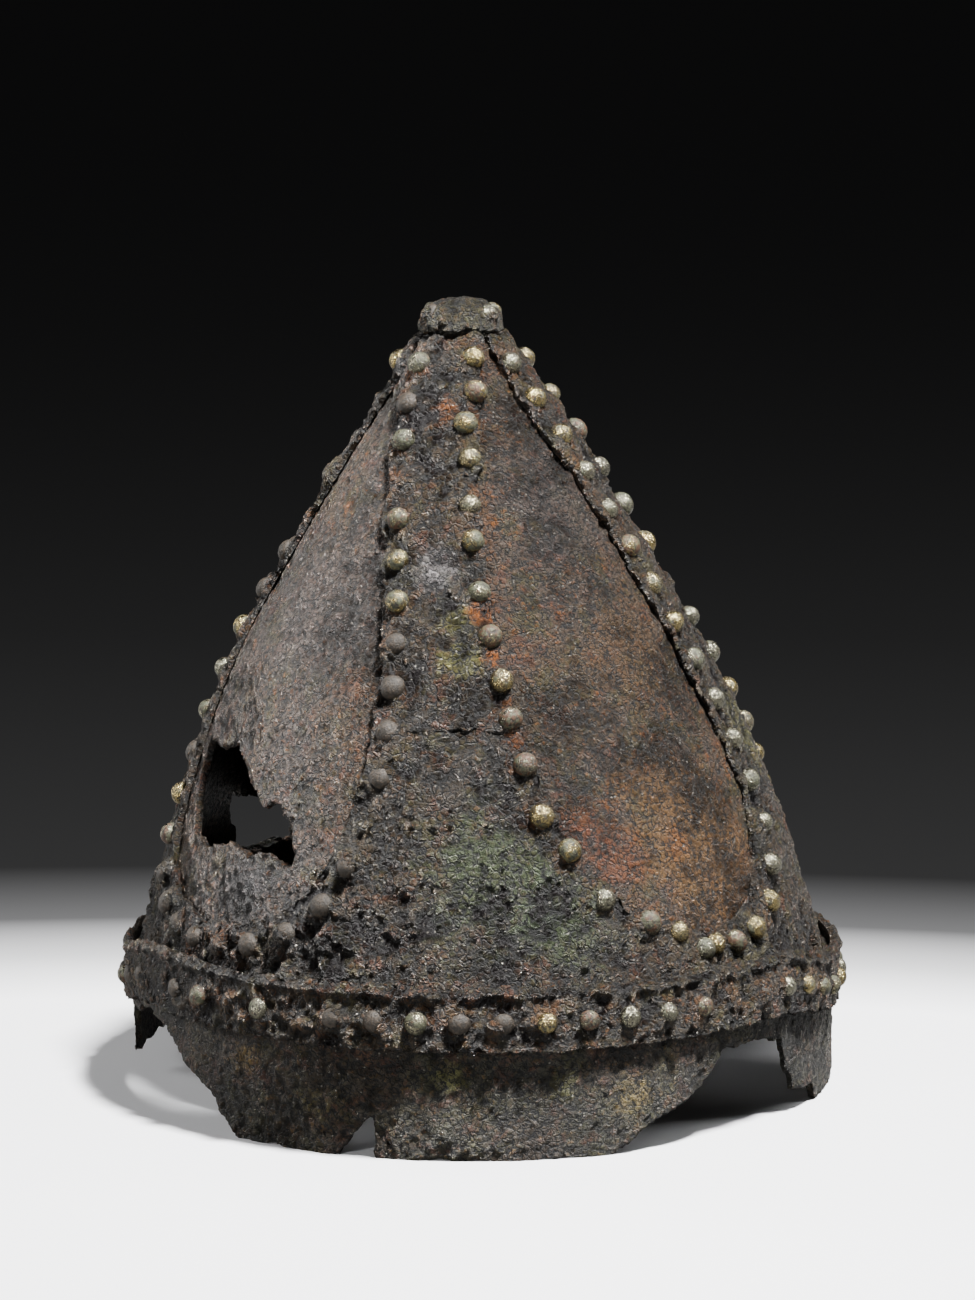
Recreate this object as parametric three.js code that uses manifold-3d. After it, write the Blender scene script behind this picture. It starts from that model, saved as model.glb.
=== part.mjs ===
import * as THREE from "three";
import { mergeVertices } from "three/addons/utils/BufferGeometryUtils.js";
import Module from "manifold-3d";

const wasm = await Module();
wasm.setup();

// Corroded iron helmet of four plates under four riveted bands, a brow strip, a rim and a cap.
// Lengths are millimetres. Angles are degrees from the front, the -Y side, towards +X.

// Bowl: the outer face of the plates
const BOWL_HALF_WIDTH = 95;
const BOWL_HALF_DEPTH = 105;
const BOWL_HEIGHT = 212;
const TOP_LEAN = -6;

// Heights are shares of BOWL_HEIGHT, widths and depths of the half sizes, leans of TOP_LEAN
const BOWL_ROWS = [
  { height: 0, width: 1, depth: 1, lean: 0 },
  { height: 0.14, width: 1, depth: 1, lean: 0 },
  { height: 0.28, width: 0.93, depth: 0.93, lean: 0.15 },
  { height: 0.42, width: 0.828, depth: 0.832, lean: 0.3 },
  { height: 0.57, width: 0.682, depth: 0.686, lean: 0.6 },
  { height: 0.71, width: 0.505, depth: 0.507, lean: 0.7 },
  { height: 0.85, width: 0.317, depth: 0.313, lean: 0.75 },
  { height: 0.94, width: 0.185, depth: 0.178, lean: 0.9 },
  { height: 1, width: 0.1, depth: 0.09, lean: 1 },
];

// Sheet thicknesses, and the gap between pieces that lie on or beside each other
const PLATE_THICKNESS = 2;
const BAND_THICKNESS = 1.6;
const RIM_THICKNESS = 1.8;
const BROW_THICKNESS = 1.6;
const GAP = 0.4;
const BROW_GAP = 0.65;

// Heights where the pieces meet, as shares of BOWL_HEIGHT
const SHELL_FOOT = BOWL_HEIGHT * 0.142;
const SEAM_HEIGHT = BOWL_HEIGHT * 0.514;
const SHELL_TOP = BOWL_HEIGHT * 0.99;

// Bands: centre angles near the foot, halfway up and at the top
const BANDS = [
  { name: "front", foot: 2.5, middle: -0.8, top: -19 },
  { name: "right", foot: 97, middle: 86, top: 80 },
  { name: "back", foot: 180, middle: 180, top: 180 },
  { name: "left", foot: 263, middle: 261, top: 255 },
];
const BAND_HEIGHTS = { foot: 0.24, middle: 0.57, top: 1 };

// A band is a narrow strip that flares into a wide base round the foot of each window
const STRIP_HALF_WIDTH = 11.5;
const FLARE_REACH = 47;
const FLARE_ROUND = 9;
const FLARE_FADE = 0.25;
const WINDOW_FOOT = BOWL_HEIGHT * 0.245;

// Rivets along the band edges
const RIVET_RADIUS = 3.5;
const RIVET_PROUD = 3.3;
const RIVET_SUNK = 0.9;
const RIVET_INSET = 4;
const RIVET_PITCH = 12.4;
const RIVET_TOP = BOWL_HEIGHT * 0.953;
const RIVET_SIDES = 5;

// Rivets lost to corrosion, counted from the top of their row
const LOST_RIVETS = [
  { band: "front", side: -1, place: 3 },
  { band: "front", side: -1, place: 11 },
  { band: "right", side: 1, place: 6 },
  { band: "back", side: -1, place: 9 },
  { band: "back", side: 1, place: 4 },
  { band: "left", side: -1, place: 8 },
  { band: "left", side: 1, place: 1 },
  { band: "left", side: 1, place: 2 },
  { band: "left", side: 1, place: 4 },
];

// Brow strip with a bead along its upper edge, and its row of rivets. It runs lower over the sides
// and back than over the face
const BROW_FOOT = SHELL_FOOT - 0.5;
const BROW_HEIGHT = 14.8;
const BROW_DROP = 6.5;
const DROP_FROM = 58;
const DROP_TO = 84;
const BEAD_HEIGHT = 3.4;
const BEAD_PROUD = 1.1;
const BROW_RIVETS = 55;
const BROW_RIVET_RADIUS = 3.1;
const BROW_RIVET_PROUD = 2.5;
const BROW_FIRST_ANGLE = 2.1;
const BROW_LOST = [7, 20, 27, 33, 46, 49, 51];

// Rim: a skirt whose lower edge is broken. Heights are shares of the skirt below the brow strip
const RIM_TOP = BROW_FOOT + BROW_HEIGHT - 2.4;
const RIM_EDGE = [
  { angle: -156, height: 0 },
  { angle: -150, height: 0.3 },
  { angle: -141, height: 0.4 },
  { angle: -134, height: 0 },
  { angle: -124, height: 0.1 },
  { angle: -119, height: 0.54 },
  { angle: -113, height: 0.7 },
  { angle: -107, height: 0.66 },
  { angle: -104.5, height: 0.24 },
  { angle: -96, height: 0.17 },
  { angle: -86, height: 0.19 },
  { angle: -84.5, height: 0.6 },
  { angle: -82, height: 0.72 },
  { angle: -72, height: 0.78 },
  { angle: -63, height: 0.9 },
  { angle: -55, height: 0.79 },
  { angle: -50, height: 0.58 },
  { angle: -45, height: 0.41 },
  { angle: -41.6, height: 0.29 },
  { angle: -38.6, height: 0.14 },
  { angle: -36, height: 0 },
  { angle: -17.5, height: 0 },
  { angle: -16, height: 0.09 },
  { angle: -13.7, height: 0.27 },
  { angle: -12.2, height: 0.36 },
  { angle: -11.4, height: 0.35 },
  { angle: -11, height: 0 },
  { angle: 26, height: 0 },
  { angle: 31, height: 0.2 },
  { angle: 36.4, height: 0.34 },
  { angle: 42, height: 0.5 },
  { angle: 44, height: 0.62 },
  { angle: 46, height: 0.79 },
  { angle: 53, height: 0.8 },
  { angle: 61, height: 0.7 },
  { angle: 63, height: 0.45 },
  { angle: 65.3, height: 0.22 },
  { angle: 72.8, height: 0.17 },
  { angle: 74, height: 0 },
  { angle: 97, height: 0 },
  { angle: 99.5, height: 0.24 },
  { angle: 107, height: 0.44 },
  { angle: 116, height: 0.3 },
  { angle: 122, height: 0 },
  { angle: 158, height: 0 },
  { angle: 163, height: 0.2 },
  { angle: 170, height: 0.14 },
  { angle: 175, height: 0 },
];
const LACE_HOLE_RADIUS = 1.2;
const LACE_HOLES = [
  { angle: -35, height: 0.22 },
  { angle: -19.5, height: 0.18 },
  { angle: -8.8, height: 0.16 },
];

// Holes broken through the shell, with heights as shares of BOWL_HEIGHT
const FRONT_HOLE = [
  { angle: -74.6, height: 0.468 },
  { angle: -72, height: 0.417 },
  { angle: -64, height: 0.357 },
  { angle: -56.5, height: 0.347 },
  { angle: -48.6, height: 0.357 },
  { angle: -44, height: 0.347 },
  { angle: -36.5, height: 0.357 },
  { angle: -30.2, height: 0.343 },
  { angle: -33.1, height: 0.395 },
  { angle: -38.4, height: 0.419 },
  { angle: -41.1, height: 0.408 },
  { angle: -48.4, height: 0.444 },
  { angle: -55.2, height: 0.479 },
  { angle: -66, height: 0.466 },
];
const BACK_HOLE = [
  { angle: -136, height: 0.25 },
  { angle: -130, height: 0.25 },
  { angle: -125.2, height: 0.243 },
  { angle: -118.5, height: 0.271 },
  { angle: -115.6, height: 0.307 },
  { angle: -113, height: 0.356 },
  { angle: -116, height: 0.352 },
  { angle: -119.3, height: 0.331 },
  { angle: -124.5, height: 0.331 },
  { angle: -134.9, height: 0.308 },
];

// Cap: a dome that sits on the ends of the strips and plates
const CAP_RADIUS = 12.3;
const CAP_HEIGHT = 9.9;
const CAP_SIDES = 16;
const CAP_PROFILE = [
  { radius: 0, height: 0.72 },
  { radius: 0.5, height: 0.52 },
  { radius: 0.64, height: 0 },
  { radius: 1, height: 0 },
  { radius: 0.97, height: 0.3 },
  { radius: 0.83, height: 0.64 },
  { radius: 0.5, height: 0.91 },
  { radius: 0, height: 1 },
];
const CAP_RIVET_ANGLES = [56, 124, 236, 304];
const CAP_RIVET_RADIUS = 2.6;

// Grid fineness
const PLATE_COLUMNS = 10;
const LOWER_ROWS = 4;
const STRIP_COLUMNS = 5;
const UPPER_ROWS = 6;
const BASE_EDGE_POINTS = 7;
const BASE_ROWS = 4;
const RING_STEP = 7.2;
const PROBE = 0.01;
const RADIANS = Math.PI / 180;

// Finishes: seen colour, roughness and metalness
const FINISHES = {
  plate: { color: 0x4f4842, roughness: 0.62, metalness: 0.45 },
  band: { color: 0x46413b, roughness: 0.74, metalness: 0.35 },
  brow: { color: 0x48413a, roughness: 0.78, metalness: 0.3 },
  rim: { color: 0x443f39, roughness: 0.76, metalness: 0.3 },
  cap: { color: 0x4d4b3d, roughness: 0.6, metalness: 0.45 },
};

// Smooth curve through one column of a table, with no overshoot between its rows.
function follow(rows, column, at) {
  const last = rows.length - 1;
  const slope = (j) => (rows[j + 1][column] - rows[j][column]) / (rows[j + 1].height - rows[j].height);
  const tangent = (j) => {
    if (j === 0) return slope(0);
    if (j === last) return slope(last - 1);
    const before = slope(j - 1);
    const after = slope(j);
    return before * after > 0 ? (2 * before * after) / (before + after) : 0;
  };
  const inside = THREE.MathUtils.clamp(at, rows[0].height, rows[last].height);
  let i = 0;
  while (i < last - 1 && inside > rows[i + 1].height) i += 1;
  const span = rows[i + 1].height - rows[i].height;
  const t = (inside - rows[i].height) / span;
  const rise = t * t * (3 - 2 * t);
  const lead = t * (1 - t) * (1 - t) * tangent(i);
  const trail = t * t * (t - 1) * tangent(i + 1);
  return rows[i][column] * (1 - rise) + rows[i + 1][column] * rise + span * (lead + trail);
}

function bowlSpot(angle, height) {
  const share = height / BOWL_HEIGHT;
  const halfWidth = BOWL_HALF_WIDTH * follow(BOWL_ROWS, "width", share);
  const halfDepth = BOWL_HALF_DEPTH * follow(BOWL_ROWS, "depth", share);
  const lean = TOP_LEAN * follow(BOWL_ROWS, "lean", share);
  const turn = angle * RADIANS;
  return new THREE.Vector3(lean + halfWidth * Math.sin(turn), -halfDepth * Math.cos(turn), height);
}

function outwardAt(angle, height) {
  const across = bowlSpot(angle + PROBE, height).sub(bowlSpot(angle - PROBE, height));
  const upward = bowlSpot(angle, height + PROBE).sub(bowlSpot(angle, height - PROBE));
  return across.cross(upward).normalize();
}

function skin(angle, height, offset) {
  return bowlSpot(angle, height).addScaledVector(outwardAt(angle, height), offset);
}

function meanRadius(height) {
  const share = height / BOWL_HEIGHT;
  const width = BOWL_HALF_WIDTH * follow(BOWL_ROWS, "width", share);
  const depth = BOWL_HALF_DEPTH * follow(BOWL_ROWS, "depth", share);
  return (width + depth) / 2;
}

function bandCentre(index, height) {
  const turns = Math.floor(index / BANDS.length);
  const band = BANDS[index - turns * BANDS.length];
  const rows = Object.keys(BAND_HEIGHTS).map((key) => ({ height: BAND_HEIGHTS[key], angle: band[key] }));
  return follow(rows, "angle", height / BOWL_HEIGHT) + 360 * turns;
}

// Angle from a band's centre to the seam it shares with the band on that side.
function halfQuarter(index, side, height) {
  const apart = Math.abs(bandCentre(index + side, height) - bandCentre(index, height));
  return apart / 2 - GAP / 2 / meanRadius(height) / RADIANS;
}

function quarterArc(index, side, height) {
  return halfQuarter(index, side, height) * RADIANS * meanRadius(height);
}

// Half width of a band: a strip that widens without limit as it comes down to the window's foot.
function bandHalfWidth(height) {
  const rise = (height - WINDOW_FOOT) / FLARE_ROUND;
  if (rise <= 0) return Infinity;
  return STRIP_HALF_WIDTH + FLARE_REACH * Math.expm1(rise) ** -FLARE_FADE;
}

function edgeShare(index, side, height) {
  return Math.min(1, bandHalfWidth(height) / quarterArc(index, side, height));
}

function bandAngle(index, share, height) {
  return bandCentre(index, height) + share * halfQuarter(index, Math.sign(share) || 1, height);
}

function spread(from, to, steps) {
  return Array.from({ length: steps + 1 }, (_, i) => from + ((to - from) * i) / steps);
}

function solidOf(positions, triangles) {
  const kept = [];
  for (let i = 0; i < triangles.length; i += 3) {
    const [a, b, c] = [triangles[i], triangles[i + 1], triangles[i + 2]];
    if (a !== b && b !== c && c !== a) kept.push(a, b, c);
  }
  const mesh = new wasm.Mesh({
    numProp: 3,
    vertProperties: new Float32Array(positions),
    triVerts: new Uint32Array(kept),
  });
  return new wasm.Manifold(mesh);
}

// Closed wall over columns of spots, from the inner offset to each row's outer offset.
function wall(columns, inner, outers, ring = false) {
  const rows = columns[0].length;
  const positions = [];
  columns.forEach((column) => {
    column.forEach((spot, j) => {
      positions.push(...skin(spot.angle, spot.height, outers[Math.min(j, outers.length - 1)]).toArray());
      positions.push(...skin(spot.angle, spot.height, inner).toArray());
    });
  });
  const out = (i, j) => ((i % columns.length) * rows + j) * 2;
  const back = (i, j) => out(i, j) + 1;
  const triangles = [];
  const quad = (a, b, c, d) => triangles.push(a, b, c, a, c, d);
  const spans = ring ? columns.length : columns.length - 1;
  for (let i = 0; i < spans; i += 1) {
    for (let j = 0; j < rows - 1; j += 1) {
      quad(out(i, j), out(i + 1, j), out(i + 1, j + 1), out(i, j + 1));
      quad(back(i, j), back(i, j + 1), back(i + 1, j + 1), back(i + 1, j));
    }
    quad(back(i, 0), back(i + 1, 0), out(i + 1, 0), out(i, 0));
    quad(out(i, rows - 1), out(i + 1, rows - 1), back(i + 1, rows - 1), back(i, rows - 1));
  }
  for (let j = 0; j < rows - 1 && !ring; j += 1) {
    quad(back(0, j), out(0, j), out(0, j + 1), back(0, j + 1));
    quad(out(spans, j), back(spans, j), back(spans, j + 1), out(spans, j + 1));
  }
  return solidOf(positions, triangles);
}

function turned(profile, sides, base, outward) {
  const points = profile.map((row) => new THREE.Vector2(row.radius, row.height));
  const lathe = new THREE.LatheGeometry(points, sides);
  lathe.deleteAttribute("normal");
  lathe.deleteAttribute("uv");
  lathe.applyQuaternion(new THREE.Quaternion().setFromUnitVectors(new THREE.Vector3(0, 1, 0), outward));
  lathe.translate(base.x, base.y, base.z);
  const merged = mergeVertices(lathe, 1e-3);
  return solidOf(merged.attributes.position.array, merged.index.array);
}

function rivet(base, outward, radius, proud) {
  const profile = [
    { radius: 0, height: -RIVET_SUNK },
    { radius, height: -RIVET_SUNK },
    { radius: radius * 0.9, height: proud * 0.52 },
    { radius: 0, height: proud },
  ];
  return turned(profile, RIVET_SIDES, base, outward);
}

function joined(solid, pieces) {
  return pieces.reduce((whole, piece) => whole.add(piece), solid);
}

// Prism through the shell over an outline of angles and heights.
function holeCutter(outline) {
  const reach = PLATE_THICKNESS * 6;
  const flat = outline.map((spot) => new THREE.Vector2(spot.angle, spot.height));
  const caps = THREE.ShapeUtils.triangulateShape(flat, []);
  const rounds = THREE.ShapeUtils.isClockWise(flat) ? outline.slice().reverse() : outline;
  const count = rounds.length;
  const number = (i) => (rounds === outline ? i : count - 1 - i);
  const at = (spot, offset) => skin(spot.angle, spot.height * BOWL_HEIGHT, offset).toArray();
  const positions = [...rounds.flatMap((s) => at(s, reach)), ...rounds.flatMap((s) => at(s, -reach))];
  const triangles = [];
  caps.forEach((face) => {
    const [a, b, c] = face.map(number);
    const upright = new THREE.Vector2(rounds[b].angle - rounds[a].angle, rounds[b].height - rounds[a].height);
    const next = new THREE.Vector2(rounds[c].angle - rounds[a].angle, rounds[c].height - rounds[a].height);
    const [p, q] = upright.cross(next) > 0 ? [b, c] : [c, b];
    triangles.push(a, p, q, count + a, count + q, count + p);
  });
  for (let i = 0; i < count; i += 1) {
    const j = (i + 1) % count;
    triangles.push(i, count + i, count + j, i, count + j, j);
  }
  return solidOf(positions, triangles);
}

function insideOutline(outline, angle, height) {
  let inside = false;
  outline.forEach((a, i) => {
    const b = outline[(i + 1) % outline.length];
    const crosses = a.height * BOWL_HEIGHT > height !== b.height * BOWL_HEIGHT > height;
    const along = (height / BOWL_HEIGHT - a.height) / (b.height - a.height);
    if (crosses && angle < a.angle + along * (b.angle - a.angle)) inside = !inside;
  });
  return inside;
}

function clearOfHoles(angle, height) {
  const reach = RIVET_RADIUS + RIVET_SUNK;
  const turn = reach / meanRadius(height) / RADIANS;
  const probes = spread(0, 360, 8).map((a) => [Math.cos(a * RADIANS), Math.sin(a * RADIANS)]);
  return [[0, 0], ...probes].every(([across, up]) =>
    [FRONT_HOLE, BACK_HOLE].every((hole) => {
      const wrapped = ((angle + across * turn + 180) % 360) - 180;
      return !insideOutline(hole, wrapped, height + up * reach);
    }),
  );
}

// Rivet places along one edge of a band, from the top down and round to the seam under the window.
function rivetRow(index, side) {
  const spots = [];
  for (let height = RIVET_TOP; height > SHELL_FOOT; height -= PROBE * 40) {
    const arc = quarterArc(index, side, height);
    const share = (bandHalfWidth(height + RIVET_INSET) - RIVET_INSET) / arc;
    const limit = 1 - RIVET_PITCH / 2 / arc;
    const angle = bandAngle(index, side * Math.min(share, limit), height);
    const spot = { angle, height, point: skin(angle, height, 0) };
    const before = spots[spots.length - 1];
    spot.along = before ? before.along + spot.point.distanceTo(before.point) : 0;
    spots.push(spot);
    if (share > limit && height < SEAM_HEIGHT) break;
  }
  const whole = spots[spots.length - 1].along;
  const count = Math.round(whole / RIVET_PITCH);
  return spread(0, whole, count).map((along) => spots.find((spot) => spot.along >= along - PROBE));
}

function bandRivets(index, upper) {
  const lift = RIVET_RADIUS + GAP;
  const places = [];
  [-1, 1].forEach((side) => {
    rivetRow(index, side).forEach((spot, place) => {
      const lost = LOST_RIVETS.some(
        (row) => row.band === BANDS[index].name && row.side === side && row.place === place,
      );
      if (lost || spot.height > SEAM_HEIGHT !== upper || !clearOfHoles(spot.angle, spot.height)) return;
      const clear = upper ? Math.max(spot.height, SEAM_HEIGHT + lift) : Math.min(spot.height, SEAM_HEIGHT - lift);
      places.push({ angle: spot.angle, height: clear });
    });
  });
  return places.map(({ angle, height }) => {
    const base = skin(angle, height, GAP + BAND_THICKNESS);
    return rivet(base, outwardAt(angle, height), RIVET_RADIUS, RIVET_PROUD);
  });
}

function plate(index) {
  const lower = spread(SHELL_FOOT, SEAM_HEIGHT, LOWER_ROWS).slice(0, -1);
  const heights = [...lower, ...spread(SEAM_HEIGHT, SHELL_TOP, UPPER_ROWS)];
  const columns = spread(0, 1, PLATE_COLUMNS).map((share) =>
    heights.map((height) => {
      const edge = GAP / 2 / meanRadius(height) / RADIANS;
      const from = bandCentre(index, height) + edge;
      const to = bandCentre(index + 1, height) - edge;
      return { angle: from + (to - from) * share, height };
    }),
  );
  return wall(columns, -PLATE_THICKNESS, [0]);
}

function strip(index) {
  const heights = spread(SEAM_HEIGHT, SHELL_TOP, UPPER_ROWS);
  heights[0] += GAP / 2;
  const columns = spread(-1, 1, STRIP_COLUMNS).map((across) =>
    heights.map((height) => {
      const share = across * edgeShare(index, Math.sign(across) || 1, height);
      return { angle: bandAngle(index, share, height), height };
    }),
  );
  const body = wall(columns, GAP, [GAP + BAND_THICKNESS]);
  return joined(body, bandRivets(index, true));
}

// Points at even distances along a base's upper edge, from the strip out to the seam.
function baseEdge(index, side) {
  const spots = [];
  for (let height = SEAM_HEIGHT - GAP / 2; height > SHELL_FOOT; height -= PROBE * 20) {
    const share = edgeShare(index, side, height);
    const point = skin(bandAngle(index, side * share, height), height, 0);
    const before = spots[spots.length - 1];
    spots.push({ share, height, point, along: before ? before.along + point.distanceTo(before.point) : 0 });
    if (share === 1) break;
  }
  const whole = spots[spots.length - 1].along;
  return spread(0, whole, BASE_EDGE_POINTS).map((along) => spots.find((spot) => spot.along >= along - PROBE));
}

function base(index) {
  const [left, right] = [-1, 1].map((side) => baseEdge(index, side));
  const top = SEAM_HEIGHT - GAP / 2;
  const middle = spread(-left[0].share, right[0].share, 4).slice(1, -1);
  const columns = [
    ...left.toReversed().map((spot) => ({ share: -spot.share, height: spot.height })),
    ...middle.map((share) => ({ share, height: top })),
    ...right,
  ].map((edge) =>
    spread(SHELL_FOOT, edge.height, BASE_ROWS).map((height) => ({
      angle: bandAngle(index, edge.share, height),
      height,
    })),
  );
  const body = wall(columns, GAP, [GAP + BAND_THICKNESS]);
  return joined(body, bandRivets(index, false));
}

function rimColumns() {
  const broken = RIM_EDGE.map((row) => row.angle);
  const even = spread(-180, 180 - RING_STEP, 360 / RING_STEP - 1);
  const fill = even.filter((angle) => broken.every((known) => Math.abs(known - angle) > RING_STEP / 2.2));
  return [...broken, ...fill].sort((a, b) => a - b);
}

function rimFoot(angle) {
  const next = RIM_EDGE.findIndex((row) => row.angle >= angle);
  if (next <= 0) return 0;
  const [a, b] = [RIM_EDGE[next - 1], RIM_EDGE[next]];
  return (a.height + ((b.height - a.height) * (angle - a.angle)) / (b.angle - a.angle)) * SHELL_FOOT;
}

function browDrop(angle) {
  const fromFront = Math.abs(THREE.MathUtils.euclideanModulo(angle + 180, 360) - 180);
  return BROW_DROP * THREE.MathUtils.smoothstep(fromFront, DROP_FROM, DROP_TO);
}

function rim() {
  const inner = 2 * GAP + BAND_THICKNESS;
  const outer = inner + RIM_THICKNESS;
  const columns = rimColumns().map((angle) => {
    const top = RIM_TOP - browDrop(angle);
    const bend = SHELL_FOOT - browDrop(angle) / 2;
    return [rimFoot(angle), bend, (bend + top) / 2, top].map((height) => ({ angle, height }));
  });
  const skirt = wall(columns, inner, [outer], true);
  const holes = LACE_HOLES.map(({ angle, height }) => {
    const base = skin(angle, height * SHELL_FOOT, 0);
    const profile = [
      { radius: 0, height: -RIM_THICKNESS },
      { radius: LACE_HOLE_RADIUS, height: -RIM_THICKNESS },
      { radius: LACE_HOLE_RADIUS, height: outer + RIM_THICKNESS },
      { radius: 0, height: outer + RIM_THICKNESS },
    ];
    return turned(profile, RIVET_SIDES + 2, base, outwardAt(angle, height * SHELL_FOOT));
  });
  return holes.reduce((solid, hole) => solid.subtract(hole), skirt);
}

function browStrip() {
  const inner = 2 * GAP + BAND_THICKNESS + RIM_THICKNESS + BROW_GAP;
  const flat = inner + BROW_THICKNESS;
  const top = BROW_FOOT + BROW_HEIGHT;
  const section = [
    { height: BROW_FOOT, outer: flat },
    { height: top - BEAD_HEIGHT, outer: flat },
    { height: top - BEAD_HEIGHT * 0.6, outer: flat + BEAD_PROUD },
    { height: top, outer: flat + BEAD_PROUD * 0.4 },
  ];
  const step = 360 / BROW_RIVETS;
  const first = BROW_FIRST_ANGLE + step / 2;
  const columns = spread(first, first + 360 - step, BROW_RIVETS - 1).map((angle) =>
    section.map(({ height }) => ({ angle, height: height - browDrop(angle) })),
  );
  const outers = section.map((row) => row.outer);
  const rivets = [];
  for (let place = 0; place < BROW_RIVETS; place += 1) {
    const angle = BROW_FIRST_ANGLE + step * place;
    const height = BROW_FOOT + BROW_HEIGHT * 0.45 - browDrop(angle);
    const base = skin(angle, height, flat);
    if (!BROW_LOST.includes(place)) {
      rivets.push(rivet(base, outwardAt(angle, height), BROW_RIVET_RADIUS, BROW_RIVET_PROUD));
    }
  }
  return joined(wall(columns, inner, outers, true), rivets);
}

function cap() {
  const upright = new THREE.Vector3(0, 0, 1);
  const ends = spread(0, 360, CAP_SIDES).map((angle) => skin(angle, SHELL_TOP, GAP + BAND_THICKNESS).z);
  const base = new THREE.Vector3(bowlSpot(0, SHELL_TOP).x, 0, Math.max(...ends) + GAP);
  const profile = CAP_PROFILE.map((row) => ({
    radius: row.radius * CAP_RADIUS,
    height: row.height * CAP_HEIGHT,
  }));
  const rivets = CAP_RIVET_ANGLES.map((angle) => {
    const radial = new THREE.Vector3(Math.sin(angle * RADIANS), -Math.cos(angle * RADIANS), 0);
    const rise = new THREE.Vector3(0, 0, CAP_HEIGHT * 0.5);
    const place = base.clone().add(rise).addScaledVector(radial, CAP_RADIUS * 0.88);
    return rivet(place, radial.setZ(0.6).normalize(), CAP_RIVET_RADIUS, CAP_RIVET_RADIUS * 0.9);
  });
  return joined(turned(profile, CAP_SIDES, base, upright), rivets);
}

function meshOf(name, solid, finish) {
  const made = solid.getMesh();
  const geometry = new THREE.BufferGeometry();
  geometry.setAttribute("position", new THREE.BufferAttribute(made.vertProperties, 3));
  geometry.setIndex(new THREE.BufferAttribute(made.triVerts, 1));
  const facets = geometry.toNonIndexed();
  facets.computeVertexNormals();
  const mesh = new THREE.Mesh(facets, new THREE.MeshStandardMaterial(FINISHES[finish]));
  mesh.name = name;
  return mesh;
}

const frontHole = holeCutter(FRONT_HOLE);
const backHole = holeCutter(BACK_HOLE);
const helmet = new THREE.Group();
helmet.name = "helmet";

helmet.add(meshOf("plate_front_right", plate(0), "plate"));
helmet.add(meshOf("plate_back_right", plate(1), "plate"));
helmet.add(meshOf("plate_back_left", plate(2).subtract(backHole), "plate"));
helmet.add(meshOf("plate_front_left", plate(3).subtract(frontHole), "plate"));
BANDS.forEach((band, index) => {
  helmet.add(meshOf(`strip_${band.name}`, strip(index), "band"));
  const whole = base(index);
  const broken = band.name === "left" ? whole.subtract(backHole) : whole;
  helmet.add(meshOf(`base_${band.name}`, broken, "band"));
});
helmet.add(meshOf("rim", rim(), "rim"));
helmet.add(meshOf("brow_strip", browStrip(), "brow"));
helmet.add(meshOf("cap", cap(), "cap"));

export default helmet;
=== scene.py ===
"""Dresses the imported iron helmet: corroded sheets, worn rivet heads, a crusted cap and the studio.

Each sheet starts as a copy of its CAD solid. It is remeshed, pressed on a smooth former with the
bowl's shape, and then corroded with layers of displacement. Rivet heads are turned once and set in
rows along the band edges. Lengths are metres and angles are degrees from the front, the -Y side,
towards +X.
"""

import logging
import math
import random
from dataclasses import dataclass, field
from enum import Enum

import bpy
import numpy as np
from mathutils import Matrix, Vector


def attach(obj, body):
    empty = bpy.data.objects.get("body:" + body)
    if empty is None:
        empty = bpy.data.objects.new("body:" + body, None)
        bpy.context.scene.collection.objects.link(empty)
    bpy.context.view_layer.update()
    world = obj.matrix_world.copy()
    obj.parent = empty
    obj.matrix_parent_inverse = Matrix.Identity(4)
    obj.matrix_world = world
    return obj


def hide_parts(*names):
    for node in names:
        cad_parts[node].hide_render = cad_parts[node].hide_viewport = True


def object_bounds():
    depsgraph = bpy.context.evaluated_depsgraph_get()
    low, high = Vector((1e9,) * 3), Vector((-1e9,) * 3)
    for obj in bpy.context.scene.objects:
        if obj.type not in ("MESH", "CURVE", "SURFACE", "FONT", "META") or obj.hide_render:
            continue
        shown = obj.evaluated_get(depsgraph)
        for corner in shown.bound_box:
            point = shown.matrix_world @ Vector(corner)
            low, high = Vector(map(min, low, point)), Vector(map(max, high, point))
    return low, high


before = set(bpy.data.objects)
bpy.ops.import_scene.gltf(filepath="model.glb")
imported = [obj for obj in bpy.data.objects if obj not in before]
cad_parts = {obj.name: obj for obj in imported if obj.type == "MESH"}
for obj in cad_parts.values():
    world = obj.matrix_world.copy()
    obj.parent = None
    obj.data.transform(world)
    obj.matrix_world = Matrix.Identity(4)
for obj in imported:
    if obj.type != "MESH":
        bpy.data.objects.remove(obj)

LOG = logging.getLogger("helmet")
CAD_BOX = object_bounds()
MM = 0.001
RELIEF_SPAN = 2.4 * MM
Colour = tuple[float, float, float]


# Hand tools


def put_down_all() -> None:
    """Leaves edit mode and deselects every object."""
    if bpy.context.object is not None and bpy.context.object.mode != "OBJECT":
        bpy.ops.object.mode_set(mode="OBJECT")
    bpy.ops.object.select_all(action="DESELECT")


def pick(*pieces: bpy.types.Object) -> None:
    """Selects these pieces alone.

    Args:
        pieces: The objects to select. The first one becomes the active object.
    """
    put_down_all()
    for piece in pieces:
        piece.select_set(True)
    bpy.context.view_layer.objects.active = pieces[0]


def apply_modifier(piece: bpy.types.Object, kind: str, **settings: object) -> None:
    """Adds one modifier to a piece and applies it.

    Args:
        piece: The object that is changed.
        kind: Blender's name for the modifier.
        settings: The modifier's settings by name.
    """
    pick(piece)
    modifier = piece.modifiers.new(kind.title(), kind)
    for name, value in settings.items():
        setattr(modifier, name, value)
    bpy.ops.object.modifier_apply(modifier=modifier.name)


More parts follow.
